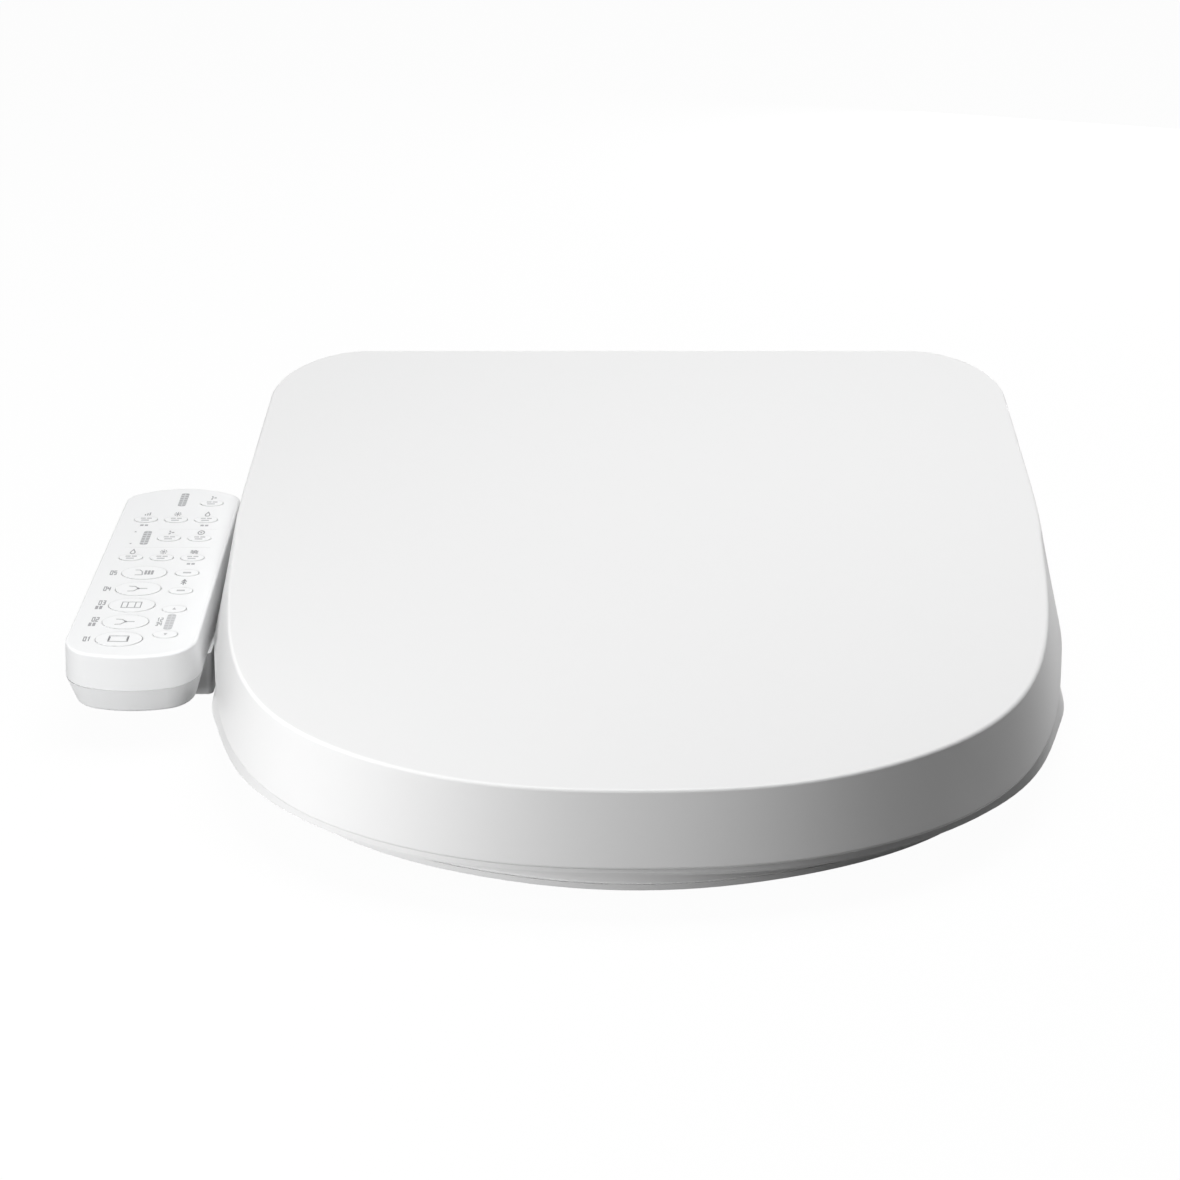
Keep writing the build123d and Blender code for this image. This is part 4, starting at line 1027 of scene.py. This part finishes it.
@dataclass
class GlandRibs:
    """Rounded ribs that let the cord sleeve flex, in millimetres."""

    node: str = "cord_gland"
    body: str = "main_unit"
    sleeve: float = 8.0
    rib: float = 0.6
    places: Tuple[float, ...] = (1.2, 3.0, 4.8)
    steps: int = 40
    turns: Tuple[int, ...] = (-90, -60, -30, 0, 30, 60, 90)

    def _rib(self, inward: float) -> Skin:
        """Make one rib.

        Args:
            inward: Its distance in from the sleeve's end.

        Returns:
            The skin of the rib.
        """
        low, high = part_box(self.node)
        middle = Vector(((low.x + high.x) / 2, high.y - inward * MM, (low.z + high.z) / 2))
        rows: List[List[Vector]] = []
        for turn in self.turns:
            out, along = math.cos(math.radians(turn)), math.sin(math.radians(turn))
            radius = (self.sleeve + out * self.rib) * MM
            rows.append(round_row(middle + along * self.rib * MM * BACK, RIGHT, UPWARD, radius, self.steps))
        return lathe(rows)

    def build(self) -> None:
        """Set the ribs on the sleeve."""
        ribs = merged(self._rib(inward) for inward in self.places)
        add_mesh("gland_ribs", *ribs, GLAND_RUBBER, self.body, "gland_rubber")


def grey(level: float) -> Shade:
    """A neutral colour of a given level."""
    return (level, level, level, 1.0)


@dataclass(frozen=True)
class Softbox:
    """A square soft light, in metres and watts."""

    name: str
    place: Point3
    size: float
    power: float
    mirrored: bool = True

    def hang(self, aim: Point3) -> None:
        """Hang the light, unseen by the camera.

        Args:
            aim: Point that it faces.
        """
        lamp = bpy.data.lights.new(self.name, "AREA")
        lamp.size = self.size
        lamp.energy = self.power
        box = bpy.data.objects.new(self.name, lamp)
        box.location = self.place
        box.rotation_euler = (Vector(aim) - Vector(self.place)).to_track_quat("-Z", "Y").to_euler()
        box.visible_camera = False
        box.visible_glossy = self.mirrored
        bpy.context.scene.collection.objects.link(box)


@dataclass
class Studio:
    """Pale floor, soft light and the camera."""

    floor_half: float = 6.0
    floor_bounce: float = 0.16
    floor_tone: float = 0.9
    floor_white: float = 0.97
    world_stops: Tuple[Point2, ...] = ((0.0, 0.2), (0.3, 0.05), (0.42, 0.025), (0.78, 0.15), (1.0, 0.05))
    softboxes: Tuple[Softbox, ...] = (
        Softbox("top_softbox", (0.13, -0.2, 1.5), 1.0, 22.0),
        Softbox("left_softbox", (-0.5, -0.77, 0.13), 0.2, 2.75, mirrored=False),
        Softbox("back_softbox", (0.45, 1.1, 0.16), 0.4, 9.0, mirrored=False),
    )
    light_aim: Point3 = (0.0, -0.22, 0.05)
    lens: float = 88.47
    sensor_width: float = 36.0
    pitch: float = 21.0
    camera_place: Point3 = (0.0, -1.5518, 0.5618)
    shift_x: float = -0.0407

    def _shown(self, tree: bpy.types.NodeTree, lighting: bpy.types.NodeSocket,
               picture: bpy.types.NodeSocket) -> bpy.types.NodeSocket:
        """Show one shader in the picture and light the part by another.

        Args:
            tree: Node tree that takes the nodes.
            lighting: Shader that diffuse rays meet.
            picture: Shader that camera, glossy and transmission rays meet.

        Returns:
            The socket of the joined shader.
        """
        path = tree.nodes.new("ShaderNodeLightPath")
        seen = path.outputs["Is Camera Ray"]
        for ray in ("Is Glossy Ray", "Is Transmission Ray"):
            either = tree.nodes.new("ShaderNodeMath")
            either.operation = "MAXIMUM"
            tree.links.new(seen, either.inputs[0])
            tree.links.new(path.outputs[ray], either.inputs[1])
            seen = either.outputs["Value"]
        mix = tree.nodes.new("ShaderNodeMixShader")
        tree.links.new(seen, mix.inputs["Fac"])
        tree.links.new(lighting, mix.inputs[1])
        tree.links.new(picture, mix.inputs[2])
        return mix.outputs["Shader"]

    def build_floor(self) -> None:
        """Lay a pale floor that keeps the shadow."""
        half = self.floor_half
        corners = [(-half, -half, 0), (half, -half, 0), (half, half, 0), (-half, half, 0)]
        mesh = bpy.data.meshes.new("floor")
        mesh.from_pydata(corners, [], [(0, 1, 2, 3)])
        floor = bpy.data.objects.new("floor", mesh)
        bpy.context.scene.collection.objects.link(floor)
        made = bpy.data.materials.new("pale_floor")
        made.use_nodes = True
        tree = made.node_tree
        tree.nodes.clear()
        dim = tree.nodes.new("ShaderNodeBsdfDiffuse")
        dim.inputs["Color"].default_value = grey(self.floor_bounce)
        pale = tree.nodes.new("ShaderNodeBsdfDiffuse")
        pale.inputs["Color"].default_value = grey(self.floor_tone)
        white = tree.nodes.new("ShaderNodeEmission")
        white.inputs["Strength"].default_value = 1.0
        shown = tree.nodes.new("ShaderNodeMixShader")
        shown.inputs["Fac"].default_value = self.floor_white
        tree.links.new(pale.outputs["BSDF"], shown.inputs[1])
        tree.links.new(white.outputs["Emission"], shown.inputs[2])
        out = tree.nodes.new("ShaderNodeOutputMaterial")
        surface = self._shown(tree, dim.outputs["BSDF"], shown.outputs["Shader"])
        tree.links.new(surface, out.inputs["Surface"])
        mesh.materials.append(made)

    def build_world(self) -> None:
        """Light the room most from the left, less from the right and least from between."""
        world = bpy.data.worlds.new("studio")
        bpy.context.scene.world = world
        world.use_nodes = True
        tree = world.node_tree
        tree.nodes.clear()
        direction = tree.nodes.new("ShaderNodeTexCoord").outputs["Generated"]
        split = tree.nodes.new("ShaderNodeSeparateXYZ")
        tree.links.new(direction, split.inputs["Vector"])
        span = tree.nodes.new("ShaderNodeMapRange")
        span.inputs["From Min"].default_value = -1.0
        tree.links.new(split.outputs["X"], span.inputs["Value"])
        ramp = tree.nodes.new("ShaderNodeValToRGB")
        ramp.color_ramp.interpolation = "EASE"
        stops = ramp.color_ramp.elements
        while len(stops) < len(self.world_stops):
            stops.new(1.0)
        for stop, (place, level) in zip(stops, self.world_stops):
            stop.position = place
            stop.color = grey(level)
        tree.links.new(span.outputs["Result"], ramp.inputs["Fac"])
        lit = tree.nodes.new("ShaderNodeBackground")
        tree.links.new(ramp.outputs["Color"], lit.inputs["Color"])
        white = tree.nodes.new("ShaderNodeBackground")
        white.inputs["Color"].default_value = grey(1.0)
        out = tree.nodes.new("ShaderNodeOutputWorld")
        surface = self._shown(tree, lit.outputs["Background"], white.outputs["Background"])
        tree.links.new(surface, out.inputs["Surface"])

    def build_camera(self) -> None:
        """Set the camera at the photograph's angle."""
        camera = bpy.data.cameras.new("camera")
        camera.lens = self.lens
        camera.sensor_width = self.sensor_width
        camera.shift_x = self.shift_x
        holder = bpy.data.objects.new("camera", camera)
        holder.location = self.camera_place
        holder.rotation_euler = (math.radians(90.0 - self.pitch), 0.0, 0.0)
        bpy.context.scene.collection.objects.link(holder)
        bpy.context.scene.camera = holder

    def build(self) -> None:
        """Set up the whole studio."""
        bpy.context.scene.view_settings.view_transform = "Standard"
        self.build_floor()
        self.build_world()
        for softbox in self.softboxes:
            softbox.hang(self.light_aim)
        self.build_camera()


def main() -> None:
    """Dress each sub-assembly in order and set up the studio."""
    logging.basicConfig(level=logging.INFO, format="%(name)s: %(message)s")
    panel = ControlPanel()
    for group in (Lid(), Seat(), MainUnit(), panel):
        group.dress()
    for pieces in (panel, WaterInlet(), SprayHoles(), ScrewHeads(), GlandRibs()):
        pieces.build()
    Studio().build()


if __name__ == "__main__":
    main()
